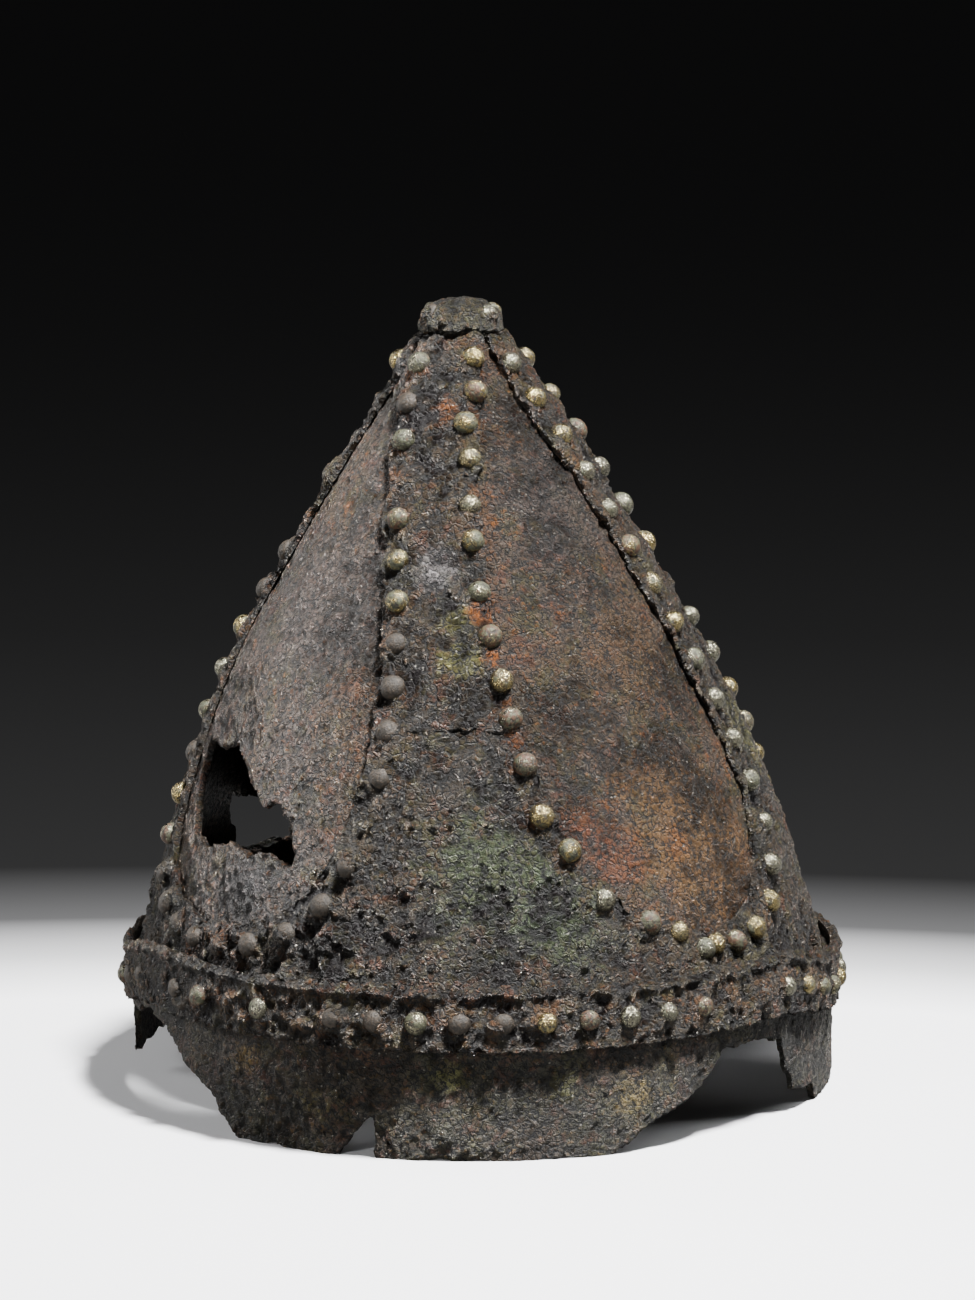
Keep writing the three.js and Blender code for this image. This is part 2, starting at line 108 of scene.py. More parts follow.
def vertices_of(piece: bpy.types.Object) -> np.ndarray:
    """Reads a piece's vertex places.

    Args:
        piece: The mesh object.

    Returns:
        An array with one row of three coordinates for each vertex.
    """
    flat = np.empty(len(piece.data.vertices) * 3, np.float32)
    piece.data.vertices.foreach_get("co", flat)
    return flat.reshape(-1, 3).astype(float)


def set_vertices(piece: bpy.types.Object, places: np.ndarray) -> None:
    """Writes a piece's vertex places.

    Args:
        piece: The mesh object.
        places: One row of three coordinates for each vertex.
    """
    piece.data.vertices.foreach_set("co", places.astype(np.float32).ravel())
    piece.data.update()


def inside_box(places: np.ndarray) -> np.ndarray:
    """Moves points that are past the CAD box back to its faces."""
    low, high = (np.array(corner) for corner in CAD_BOX)
    return np.clip(places, low, high)


def paint_attribute(piece: bpy.types.Object, name: str, values: np.ndarray) -> None:
    """Stores one number for each vertex, for the materials to read.

    Args:
        piece: The mesh object.
        name: The attribute's name.
        values: One value for each vertex.
    """
    layer = piece.data.attributes.new(name, "FLOAT", "POINT")
    layer.data.foreach_set("value", values.astype(np.float32))


def paint_relief(piece: bpy.types.Object, lift: np.ndarray) -> None:
    """Stores how far each vertex was lifted, from 0 in a pit to 1 on a lump.

    Args:
        piece: The mesh object.
        lift: How far each vertex was lifted.
    """
    paint_attribute(piece, "relief", np.clip(0.5 + lift / RELIEF_SPAN, 0, 1))


def weigh(piece: bpy.types.Object, name: str, weights: np.ndarray) -> None:
    """Makes a vertex group from an array of weights.

    Args:
        piece: The mesh object.
        name: The group's name.
        weights: One weight from 0 to 1 for each vertex.
    """
    group = piece.vertex_groups.new(name=name)
    steps = np.round(np.clip(weights, 0, 1) * 100).astype(int)
    for step in np.unique(steps[steps > 0]):
        group.add(np.nonzero(steps == step)[0].tolist(), step / 100, "REPLACE")


def eased(values: np.ndarray, low: float, high: float) -> np.ndarray:
    """Rises smoothly from 0 at low to 1 at high.

    Args:
        values: The numbers to ease.
        low: Where the rise starts.
        high: Where the rise ends.

    Returns:
        The eased numbers.
    """
    share = np.clip((values - low) / (high - low), 0, 1)
    return share * share * (3 - 2 * share)


# The bowl that every sheet lies on


@dataclass(frozen=True)
class BowlRow:
    """One level of the bowl, as shares of its height, half sizes and lean."""

    height: float
    width: float
    depth: float
    lean: float


BOWL_ROWS = (
    BowlRow(0, 1, 1, 0),
    BowlRow(0.14, 1, 1, 0),
    BowlRow(0.28, 0.93, 0.93, 0.15),
    BowlRow(0.42, 0.828, 0.832, 0.3),
    BowlRow(0.57, 0.682, 0.686, 0.6),
    BowlRow(0.71, 0.505, 0.507, 0.7),
    BowlRow(0.85, 0.317, 0.313, 0.75),
    BowlRow(0.94, 0.185, 0.178, 0.9),
    BowlRow(1, 0.1, 0.09, 1),
)


def follow(heights: list[float], values: list[float], at: float) -> float:
    """Follows a smooth curve through a table, with no overshoot between its rows.

    Args:
        heights: The rows' heights, rising.
        values: The rows' values.
        at: The height that is asked for.

    Returns:
        The curve's value there.
    """
    last = len(heights) - 1

    def slope(j: int) -> float:
        """The straight slope from row j to the next."""
        return (values[j + 1] - values[j]) / (heights[j + 1] - heights[j])

    def tangent(j: int) -> float:
        """Finds the curve's slope at a row.

        Args:
            j: The row.

        Returns:
            The slope.
        """
        if j in (0, last):
            return slope(min(j, last - 1))
        before, after = slope(j - 1), slope(j)
        return 2 * before * after / (before + after) if before * after > 0 else 0.0

    inside = min(max(at, heights[0]), heights[-1])
    i = 0
    while i < last - 1 and inside > heights[i + 1]:
        i += 1
    span = heights[i + 1] - heights[i]
    t = (inside - heights[i]) / span
    rise = t * t * (3 - 2 * t)
    bends = t * (1 - t) ** 2 * tangent(i) + t * t * (t - 1) * tangent(i + 1)
    return values[i] * (1 - rise) + values[i + 1] * rise + span * bends


@dataclass
class Bowl:
    """The pointed surface under the bands: the outer face of the plates."""

    half_width: float = 95 * MM
    half_depth: float = 105 * MM
    height: float = 212 * MM
    top_lean: float = -6 * MM
    samples: int = 1200
    table: np.ndarray = field(init=False)

    def __post_init__(self) -> None:
        """Samples the half width, half depth and lean at many heights."""
        shares = np.linspace(0, 1, self.samples)
        levels = [row.height for row in BOWL_ROWS]
        columns = (
            (self.half_width, [row.width for row in BOWL_ROWS]),
            (self.half_depth, [row.depth for row in BOWL_ROWS]),
            (self.top_lean, [row.lean for row in BOWL_ROWS]),
        )
        self.table = np.array(
            [[size * follow(levels, values, share) for share in shares] for size, values in columns]
        )

    def section(self, heights: np.ndarray) -> np.ndarray:
        """Half width, half depth and lean at these heights, one row each."""
        levels = np.linspace(0, self.height, self.samples)
        return np.array([np.interp(heights, levels, column) for column in self.table])

    def spots(self, angles: np.ndarray, heights: np.ndarray) -> np.ndarray:
        """Finds points of the surface.

        Args:
            angles: Degrees from the front.
            heights: Heights of the points.

        Returns:
            The points, one row each.
        """
        width, depth, lean = self.section(heights)
        turn = np.radians(angles)
        return np.stack([lean + width * np.sin(turn), -depth * np.cos(turn), heights], axis=-1)

    def normals(self, angles: np.ndarray, heights: np.ndarray) -> np.ndarray:
        """Finds the surface's outward directions.

        Args:
            angles: Degrees from the front.
            heights: Heights of the points.

        Returns:
            Unit directions, one row each.
        """
        step = 0.5 * MM
        across = self.spots(angles + 0.2, heights) - self.spots(angles - 0.2, heights)
        upward = self.spots(angles, heights + step) - self.spots(angles, heights - step)
        outward = np.cross(across, upward)
        return outward / np.linalg.norm(outward, axis=-1, keepdims=True)

    def skin(self, angle: float, height: float, offset: float) -> tuple[Vector, Vector]:
        """Finds a point at a distance from the surface.

        Args:
            angle: Degrees from the front.
            height: Height of the surface point.
            offset: Distance outward from the surface.

        Returns:
            The point and the outward direction there.
        """
        angles, heights = np.array([angle]), np.array([height])
        outward = Vector(self.normals(angles, heights)[0])
        return Vector(self.spots(angles, heights)[0]) + outward * offset, outward

    def read(self, places: np.ndarray) -> tuple[np.ndarray, np.ndarray, np.ndarray]:
        """Reads where points lie against the surface.

        Args:
            places: Points, one row each.

        Returns:
            Their angles, the heights of their nearest surface points, and their offsets.
        """
        heights = np.clip(places[:, 2], 0, self.height)
        for _ in range(4):
            width, depth, lean = self.section(heights)
            angles = np.degrees(np.arctan2((places[:, 0] - lean) / width, -places[:, 1] / depth))
            outward = self.normals(angles, heights)
            offsets = np.sum((places - self.spots(angles, heights)) * outward, axis=1)
            heights = np.clip(places[:, 2] - offsets * outward[:, 2], 0, self.height)
        return angles, heights, offsets

    def mean_radius(self, height: float) -> float:
        """Mean of the half width and half depth at a height."""
        width, depth, _ = self.section(np.array([height]))
        return float(width[0] + depth[0]) / 2


@dataclass
class Former:
    """A smooth stake with the bowl's shape, on which the sheets are pressed."""

    bowl: Bowl
    sides: int = 256
    rows: int = 72
    below: float = 12 * MM

    def build(self) -> bpy.types.Object:
        """Draws the former up from a circle, row by row.

        Returns:
            The former, which is only a target and is thrown away later.
        """
        levels = np.linspace(0, self.bowl.height - 0.2 * MM, self.rows)
        widths, depths, leans = self.bowl.section(levels)
        put_down_all()
        bpy.ops.mesh.primitive_circle_add(
            vertices=self.sides, radius=1, fill_type="NOTHING", location=(0, 0, -self.below)
        )
        stake = bpy.context.object
        stake.name = "former"
        bpy.ops.object.transform_apply(location=True)
        bpy.ops.object.mode_set(mode="EDIT")
        bpy.ops.mesh.select_all(action="SELECT")
        bpy.ops.transform.resize(value=(widths[0], depths[0], 1))
        self.draw_up(0.0, 0.0, self.below, 1.0, 1.0)
        for i in range(1, self.rows):
            self.draw_up(
                leans[i - 1],
                leans[i] - leans[i - 1],
                levels[i] - levels[i - 1],
                widths[i] / widths[i - 1],
                depths[i] / depths[i - 1],
            )
        bpy.ops.mesh.select_all(action="SELECT")
        bpy.ops.mesh.normals_make_consistent(inside=False)
        bpy.ops.object.mode_set(mode="OBJECT")
        bpy.ops.object.shade_smooth()
        if stake.data.polygons[0].normal.dot(stake.data.polygons[0].center) < 0:
            stake.data.flip_normals()
        return stake

    @staticmethod
    def draw_up(lean: float, shift: float, rise: float, wider: float, deeper: float) -> None:
        """Extrudes the selected ring upward and resizes it.

        Args:
            lean: The ring's centre along X before the move.
            shift: Its move along X.
            rise: Its move upward.
            wider: Growth of its width.
            deeper: Growth of its depth.
        """
        bpy.ops.mesh.extrude_region_move(TRANSFORM_OT_translate={"value": (shift, 0, rise)})
        bpy.ops.transform.resize(value=(wider, deeper, 1), center_override=(lean + shift, 0, 0))


# Layout of the bands and their rivets


@dataclass(frozen=True)
class Band:
    """Centre angles of one band near its foot, halfway up and at the top."""

    name: str
    foot: float
    middle: float
    top: float


BANDS = (
    Band("front", 2.5, -0.8, -19),
    Band("right", 97, 86, 80),
    Band("back", 180, 180, 180),
    Band("left", 263, 261, 255),
)


class Wear(Enum):
    """State of one rivet head."""

    BRIGHT = 0
    GREENED = 1
    RUSTED = 2
    CRUSTED = 3
    LOST = 4


@dataclass(frozen=True)
class Rivet:
    """One rivet's place, its wear and which sheet it holds."""

    angle: float
    height: float
    wear: Wear
    sheet: str
    base: float
    radius: float
    proud: float


@dataclass(frozen=True)
class RowSpot:
    """One rivet of the row right of the face, by angle and height."""

    angle: float
    height: float


@dataclass(frozen=True)
class HolePoint:
    """One corner of a broken hole, by angle and by its share of the bowl's height."""

    angle: float
    share: float


RIGHT_FACE_ROW = (
    RowSpot(16, 204 * MM),
    RowSpot(13.6, 195 * MM),
    RowSpot(5.7, 187 * MM),
    RowSpot(7.1, 178 * MM),
    RowSpot(6.8, 166 * MM),
    RowSpot(7.6, 157 * MM),
    RowSpot(8.9, 144 * MM),
    RowSpot(11.2, 133 * MM),
    RowSpot(13.2, 122 * MM),
    RowSpot(14.3, 112.5 * MM),
    RowSpot(16.1, 101 * MM),
    RowSpot(18, 88 * MM),
    RowSpot(22.5, 79 * MM),
    RowSpot(27.8, 66 * MM),
    RowSpot(35.7, 59 * MM),
    RowSpot(41.2, 55.5 * MM),
    RowSpot(48.5, 50.7 * MM),
)
CAP_REACH, CAP_HEAD_RADIUS, CAP_HEAD_RISE = 10.6 * MM, 3.0 * MM, 2.6 * MM
CAP_WEAR = {56: Wear.BRIGHT, 124: Wear.GREENED, 236: Wear.CRUSTED, 304: Wear.CRUSTED}
CAP_ROW = [
    Rivet(angle, 0, wear, "cap", CAP_REACH, CAP_HEAD_RADIUS, CAP_HEAD_RISE)
    for angle, wear in CAP_WEAR.items()
]
LOST_RIVETS = {
    ("front", -1): (3, 11),
    ("right", 1): (6,),
    ("back", -1): (9,),
    ("back", 1): (4,),
    ("left", -1): (8,),
    ("left", 1): (1, 2, 4),
}
FACE_HOLE = (
    HolePoint(-74.6, 0.468),
    HolePoint(-72, 0.417),
    HolePoint(-64, 0.357),
    HolePoint(-56.5, 0.347),
    HolePoint(-48.6, 0.357),
    HolePoint(-44, 0.347),
    HolePoint(-36.5, 0.357),
    HolePoint(-30.2, 0.343),
    HolePoint(-33.1, 0.395),
    HolePoint(-38.4, 0.419),
    HolePoint(-41.1, 0.408),
    HolePoint(-48.4, 0.444),
    HolePoint(-55.2, 0.479),
    HolePoint(-66, 0.466),
)
BACK_HOLE = (
    HolePoint(-136, 0.25),
    HolePoint(-130, 0.25),
    HolePoint(-125.2, 0.243),
    HolePoint(-118.5, 0.271),
    HolePoint(-115.6, 0.307),
    HolePoint(-113, 0.356),
    HolePoint(-116, 0.352),
    HolePoint(-119.3, 0.331),
    HolePoint(-124.5, 0.331),
    HolePoint(-134.9, 0.308),
)
HOLES = (FACE_HOLE, BACK_HOLE)


@dataclass
class Layout:
    """Works out where the bands' edges run and where each rivet sits."""

    bowl: Bowl
    strip_half_width: float = 11.5 * MM
    flare_reach: float = 47 * MM
    flare_round: float = 9 * MM
    flare_fade: float = 0.25
    pitch: float = 12.4 * MM
    inset: float = 4 * MM
    row_step: float = 0.4 * MM
    head_radius: float = 3.5 * MM
    head_rise: float = 3.3 * MM
    crust_top: float = 98 * MM
    gap: float = 0.4 * MM
    band_face: float = 2.0 * MM
    brow_face: float = 6.45 * MM
    shell_foot: float = 0.142 * 212 * MM
    seam: float = 0.514 * 212 * MM
    window_foot: float = 0.245 * 212 * MM
    row_top: float = 0.953 * 212 * MM
    brow_foot: float = 0.142 * 212 * MM - 0.5 * MM
    brow_height: float = 14.8 * MM
    brow_drop: float = 6.5 * MM
    brow_rivets: int = 55
    brow_head_radius: float = 3.1 * MM
    brow_head_rise: float = 2.5 * MM
    brow_first: float = 2.1
    brow_row_share: float = 0.45
    brow_lost: tuple[int, ...] = (7, 20, 27, 33, 46, 49, 51)

    def centre(self, index: int, height: float) -> float:
        """Finds the centre angle of a band at a height.

        Args:
            index: The band's place in BANDS. 4 is the front band after a full turn.
            height: The height on the bowl.

        Returns:
            The angle in degrees.
        """
        turns, place = divmod(index, len(BANDS))
        band = BANDS[place]
        levels, angles = [0.24, 0.57, 1.0], [band.foot, band.middle, band.top]
        return follow(levels, angles, height / self.bowl.height) + 360 * turns

    def half_quarter(self, index: int, side: int, height: float) -> float:
        """Angle from a band's centre to the seam on one side."""
        apart = abs(self.centre(index + side, height) - self.centre(index, height))
        return apart / 2 - math.degrees(self.gap / 2 / self.bowl.mean_radius(height))

    def arc(self, index: int, side: int, height: float) -> float:
        """Length from a band's centre to the seam on one side."""
        quarter = math.radians(self.half_quarter(index, side, height))
        return quarter * self.bowl.mean_radius(height)

    def half_width(self, height: float) -> float:
        """Finds the half width of a band, which widens without limit towards the window's foot.

        Args:
            height: The height on the bowl.

        Returns:
            The half width.
        """
        rise = (height - self.window_foot) / self.flare_round
        if rise <= 0:
            return math.inf
        return self.strip_half_width + self.flare_reach * math.expm1(rise) ** -self.flare_fade

    def drop(self, angles: np.ndarray) -> np.ndarray:
        """How far the brow strip runs lower at these angles."""
        from_front = np.abs((np.asarray(angles, float) + 180) % 360 - 180)
        return self.brow_drop * eased(from_front, 58, 84)

    def row(self, index: int, side: int) -> list[tuple[float, float]]:
        """Rivet places along one edge of a band, from the top round to the seam.

        Args:
            index: The band's place in BANDS.
            side: -1 or 1, for the edge with the smaller or larger angle.

        Returns:
            Angle and height of each rivet.
        """
        track: list[tuple[float, float, float]] = []
        before = None
        for height in np.arange(self.row_top, self.shell_foot, -self.row_step):
            arc = self.arc(index, side, height)
            share = (self.half_width(height + self.inset) - self.inset) / arc
            limit = 1 - self.pitch / 2 / arc
            angle = self.centre(index, height)
            angle += side * min(share, limit) * self.half_quarter(index, side, height)
            point = self.bowl.skin(angle, height, 0)[0]
            along = track[-1][2] + (point - before).length if track else 0.0
            track.append((angle, height, along))
            before = point
            if share > limit and height < self.seam:
                break
        count = round(track[-1][2] / self.pitch)
        stops = [track[-1][2] * i / count for i in range(count + 1)]
        return [next((a, h) for a, h, along in track if along >= stop - 1e-5) for stop in stops]

    def in_hole(self, angle: float, height: float) -> bool:
        """Tells whether a point of the shell lies in one of the broken holes.

        Args:
            angle: The point's angle, from -180 to 180.
            height: The point's height.

        Returns:
            Whether a hole's outline holds it.
        """
        share = height / self.bowl.height
        for outline in HOLES:
            inside = False
            for here, there in zip(outline, outline[1:] + outline[:1]):
                if (here.share > share) == (there.share > share):
                    continue
                along = (share - here.share) / (there.share - here.share)
                if angle < here.angle + along * (there.angle - here.angle):
                    inside = not inside
            if inside:
                return True
        return False

    def clear_of_holes(self, angle: float, height: float) -> bool:
        """Tells whether a whole rivet fits beside the broken holes.

        Args:
            angle: The rivet's angle.
            height: The rivet's height.

        Returns:
            Whether its whole foot is on iron.
        """
        reach = 4.4 * MM
        turn = math.degrees(reach / self.bowl.mean_radius(height))
        wrapped = (angle + 180) % 360 - 180
        probes = [(0.0, 0.0)] + [
            (math.cos(a), math.sin(a)) for a in np.linspace(0, 2 * math.pi, 8, endpoint=False)
        ]
        return not any(self.in_hole(wrapped + x * turn, height + y * reach) for x, y in probes)

    def wear_of(self, angle: float, height: float, chance: float) -> Wear:
        """Chooses a band rivet's wear: bright on the helmet's right half, crusted low on the left.

        Args:
            angle: The rivet's angle.
            height: The rivet's height.
            chance: A number from 0 to 1.

        Returns:
            The rivet's wear.
        """
        wrapped = (angle + 180) % 360 - 180
        if -75 < wrapped < -10 and height < self.crust_top:
            return Wear.CRUSTED
        if -20 < wrapped < 0:
            return Wear.GREENED if chance < 0.5 else Wear.CRUSTED
        if 0 <= wrapped < 130:
            return Wear.BRIGHT if chance < 0.62 else Wear.GREENED if chance < 0.88 else Wear.RUSTED
        if chance < 0.3:
            return Wear.BRIGHT
        return Wear.GREENED if chance < 0.6 else Wear.RUSTED if chance < 0.7 else Wear.CRUSTED

    def band_rivets(self) -> list[Rivet]:
        """Sets out the rivets along the edges of the four bands.

        Returns:
            The rivets, lost ones too.
        """
        luck = random.Random(11)
        found = []
        for index, band in enumerate(BANDS):
            for side in (-1, 1):
                spots = self.row(index, side)
                if band.name == "front" and side == 1:
                    spots = [(spot.angle, spot.height) for spot in RIGHT_FACE_ROW] + spots[-1:]
                for place, (angle, height) in enumerate(spots):
                    chance = luck.random()
                    size = luck.uniform(0.93, 1.04)
                    lost = place in LOST_RIVETS.get((band.name, side), ())
                    if not self.clear_of_holes(angle, height):
                        continue
                    wear = Wear.LOST if lost else self.wear_of(angle, height, chance)
                    sheet = ("strip_" if height > self.seam else "base_") + band.name
                    radius, proud = self.head_radius * size, self.head_rise * size
                    found.append(Rivet(angle, height, wear, sheet, self.band_face, radius, proud))
        return found

    def brow_wear(self, angle: float, chance: float) -> Wear:
        """Chooses a brow rivet's wear: bright at the temple, rusted right of the face.

        Args:
            angle: The rivet's angle.
            chance: A number from 0 to 1.

        Returns:
            The rivet's wear.
        """
        wrapped = (angle + 180) % 360 - 180
        if 55 < wrapped < 100:
            return Wear.BRIGHT if chance < 0.6 else Wear.GREENED
        if 14 < wrapped < 45:
            return Wear.RUSTED if chance < 0.65 else Wear.BRIGHT
        if abs(wrapped) < 20:
            return Wear.GREENED if chance < 0.4 else Wear.CRUSTED
        return Wear.CRUSTED if chance < 0.6 else Wear.RUSTED if chance < 0.8 else Wear.GREENED

    def brow_row(self) -> list[Rivet]:
        """Sets out the rivets of the brow strip.

        Returns:
            The rivets, lost ones too.
        """
        luck = random.Random(5)
        found = []
        for place in range(self.brow_rivets):
            angle = self.brow_first + 360 / self.brow_rivets * place
            height = self.brow_foot + self.brow_height * self.brow_row_share
            height -= float(self.drop(np.array([angle]))[0])
            wear = self.brow_wear(angle, luck.random())
            if place in self.brow_lost:
                wear = Wear.LOST
            size = luck.uniform(0.92, 1.0)
            radius, proud = self.brow_head_radius * size, self.brow_head_rise * size
            found.append(Rivet(angle, height, wear, "brow_strip", self.brow_face, radius, proud))
        return found


# Corrosion


class Noise(Enum):
    """Patterns of a displacement layer, as Blender's names for the noise."""

    SOFT = "BLENDER_ORIGINAL"
    SHARP = "IMPROVED_PERLIN"
    CELLS = "VORONOI_F1"


@dataclass(frozen=True)
class Layer:
    """One layer of displacement: its pattern, its size and how far it lifts and sinks."""

    noise: Noise
    size: float
    depth: float
    octaves: int = 2
    middle: float = 0.5
    contrast: float = 1.0

    def texture(self) -> bpy.types.Texture:
        """Makes the layer's procedural texture.

        Returns:
            The texture.
        """
        made = bpy.data.textures.new(f"corrosion_{self.noise.name.lower()}", "CLOUDS")
        made.noise_basis = self.noise.value
        made.noise_scale = self.size
        made.noise_depth = self.octaves
        made.contrast = self.contrast
        return made

    def press(self, piece: bpy.types.Object, group: str = "") -> None:
        """Displaces a piece along its normals.

        Args:
            piece: The mesh object.
            group: Name of the vertex group that takes the layer, or nothing for all.
        """
        apply_modifier(
            piece,
            "DISPLACE",
            texture=self.texture(),
            texture_coords="LOCAL",
            strength=self.depth,
            mid_level=self.middle,
            vertex_group=group,
        )

    def warp(self, piece: bpy.types.Object) -> None:
        """Shifts a piece sideways, which makes its edges ragged.

        Args:
            piece: The mesh object.
        """
        apply_modifier(
            piece,
            "DISPLACE",
            texture=self.texture(),
            texture_coords="LOCAL",
            direction="RGB_TO_XYZ",
            strength=self.depth,
            mid_level=self.middle,
        )


@dataclass(frozen=True)
class Mound:
    """A rounded lump of crust on a sheet."""

    angle: float
    height: float
    radius: float
    rise: float


RAGGED = (
    Layer(Noise.SOFT, 9 * MM, 3.2 * MM, 1),
    Layer(Noise.SOFT, 3 * MM, 1.5 * MM, 2),
)


@dataclass
class Sheet:
    """One sheet of iron: a copy of its CAD solid that is smoothed, made ragged and corroded."""

    node: str
    slot: str
    inner: float
    outer: float
    voxel: float
    layers: tuple[Layer, ...]
    mounds: list[Mound] = field(default_factory=list)
    swell: float = 0.0
    bead: tuple[float, float, float] | None = None
    ragged: float = 1.0
    thinnest: float = 0.45 * MM

    def blank(self) -> bpy.types.Object:
        """Copies the CAD solid, merges its loose triangles and remeshes it finely.

        Returns:
            The new piece.
        """
        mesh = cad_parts[self.node].data.copy()
        mesh.materials.clear()
        piece = bpy.data.objects.new(f"{self.node}_iron", mesh)
        bpy.context.scene.collection.objects.link(piece)
        pick(piece)
        bpy.ops.object.mode_set(mode="EDIT")
        bpy.ops.mesh.select_all(action="SELECT")
        bpy.ops.mesh.remove_doubles(threshold=1e-6)
        bpy.ops.object.mode_set(mode="OBJECT")
        if self.swell:
            apply_modifier(piece, "DISPLACE", strength=self.swell, mid_level=0)
        apply_modifier(piece, "REMESH", mode="VOXEL", voxel_size=self.voxel, use_smooth_shade=True)
        return piece

    def lay(self, piece: bpy.types.Object, bowl: Bowl, former: bpy.types.Object) -> None:
        """Presses the sheet's two faces on the former.

        Args:
            piece: The remeshed sheet.
            bowl: The surface that is measured from.
            former: The smooth target.
        """
        _, _, offsets = bowl.read(vertices_of(piece))
        outside = offsets > (self.inner + self.outer) / 2
        weigh(piece, "outer", outside.astype(float))
        weigh(piece, "inner", (~outside).astype(float))
        for layer in RAGGED:
            Layer(layer.noise, layer.size, layer.depth * self.ragged, layer.octaves).warp(piece)
        for group, offset in (("outer", self.outer), ("inner", self.inner)):
            apply_modifier(
                piece,
                "SHRINKWRAP",
                target=former,
                wrap_method="NEAREST_SURFACEPOINT",
                wrap_mode="ABOVE_SURFACE",
                offset=offset,
                vertex_group=group,
            )

    def build_up(self, piece: bpy.types.Object, bowl: Bowl, layout: Layout) -> None:
        """Raises the bead and the mounds of crust on the outer face.

        Args:
            piece: The laid sheet.
            bowl: The surface that is measured from.
            layout: Gives the brow strip's run.
        """
        angles, heights, offsets = bowl.read(vertices_of(piece))
        outside = offsets > (self.inner + self.outer) / 2
        if self.bead is not None:
            foot, top, rise = self.bead
            level = heights + layout.drop(angles)
            ridge = eased(level, foot, foot + (top - foot) * 0.45)
            ridge *= 1 - 0.6 * eased(level, foot + (top - foot) * 0.6, top)
            weigh(piece, "bead", ridge * outside)
            apply_modifier(piece, "DISPLACE", strength=rise, mid_level=0, vertex_group="bead")
        if not self.mounds:
            return
        highest = max(mound.rise for mound in self.mounds)
        lift = np.zeros(len(angles))
        places = bowl.spots(angles, heights)
        for mound in self.mounds:
            centre = np.array(bowl.skin(mound.angle, mound.height, 0)[0])
            share = np.linalg.norm(places - centre, axis=1) / mound.radius
            rise = np.where(share < 1, (1 - share * share) ** 1.5, 0) * mound.rise / highest
            lift = np.maximum(lift, rise)
        weigh(piece, "mound", lift * outside)
        apply_modifier(piece, "DISPLACE", strength=highest, mid_level=0, vertex_group="mound")

    def corrode(self, piece: bpy.types.Object, bowl: Bowl, rivets: list[Rivet]) -> None:
        """Adds the layers of corrosion and stores the relief for the material.

        Args:
            piece: The laid sheet.
            bowl: The surface that is measured from.
            rivets: Rivets whose surroundings take a stain.
        """
        smooth = vertices_of(piece)
        for layer in self.layers:
            layer.press(piece, "outer")
        angles, heights, _ = bowl.read(smooth)
        rough = inside_box(vertices_of(piece))
        outward = bowl.normals(angles, heights)
        lift = np.sum((rough - smooth) * outward, axis=1)
        least = self.thinnest - (self.outer - self.inner)
        rough += outward * (np.maximum(lift, least) - lift)[:, None]
        set_vertices(piece, rough)
        paint_relief(piece, lift)
        stain = np.zeros(len(rough))
        places = bowl.spots(angles, heights)
        for rivet in rivets:
            centre = np.array(bowl.skin(rivet.angle, rivet.height, 0)[0])
            away = np.linalg.norm(places - centre, axis=1)
            stain = np.maximum(stain, 1 - eased(away, rivet.radius * 0.7, rivet.radius * 2.6))
        paint_attribute(piece, "stain", stain)

    def make(
        self,
        bowl: Bowl,
        layout: Layout,
        former: bpy.types.Object,
        rivets: list[Rivet],
        material: bpy.types.Material,
    ) -> bpy.types.Object:
        """Makes the finished sheet.

        Args:
            bowl: The surface that the sheet lies on.
            layout: Gives the brow strip's run.
            former: The smooth target.
            rivets: All rivets, of which this sheet's own are used.
            material: The sheet's finish.

        Returns:
            The finished piece.
        """
        own = [rivet for rivet in rivets if rivet.sheet == self.node]
        near = [rivet for rivet in rivets if rivet.sheet != "brow_strip"]
        piece = self.blank()
        self.lay(piece, bowl, former)
        self.build_up(piece, bowl, layout)
        self.corrode(piece, bowl, own or near)
        piece.vertex_groups.clear()
        finish_piece(piece, material, self.slot, self.node)
        return piece


def finish_piece(
    piece: bpy.types.Object, material: bpy.types.Material, slot: str, *nodes: str
) -> None:
    """Gives a piece its material and its place in the frame.

    Args:
        piece: The finished object.
        material: Its finish.
        slot: Not used.
        nodes: CAD nodes that it stands for.
    """
    piece.data.materials.clear()
    piece.data.materials.append(material)
    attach(piece, "root")
    if nodes:
        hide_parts(*nodes)
    triangles = sum(len(face.vertices) - 2 for face in piece.data.polygons)
    LOG.info("%s: %d triangles", piece.name, triangles)


# Rivet heads


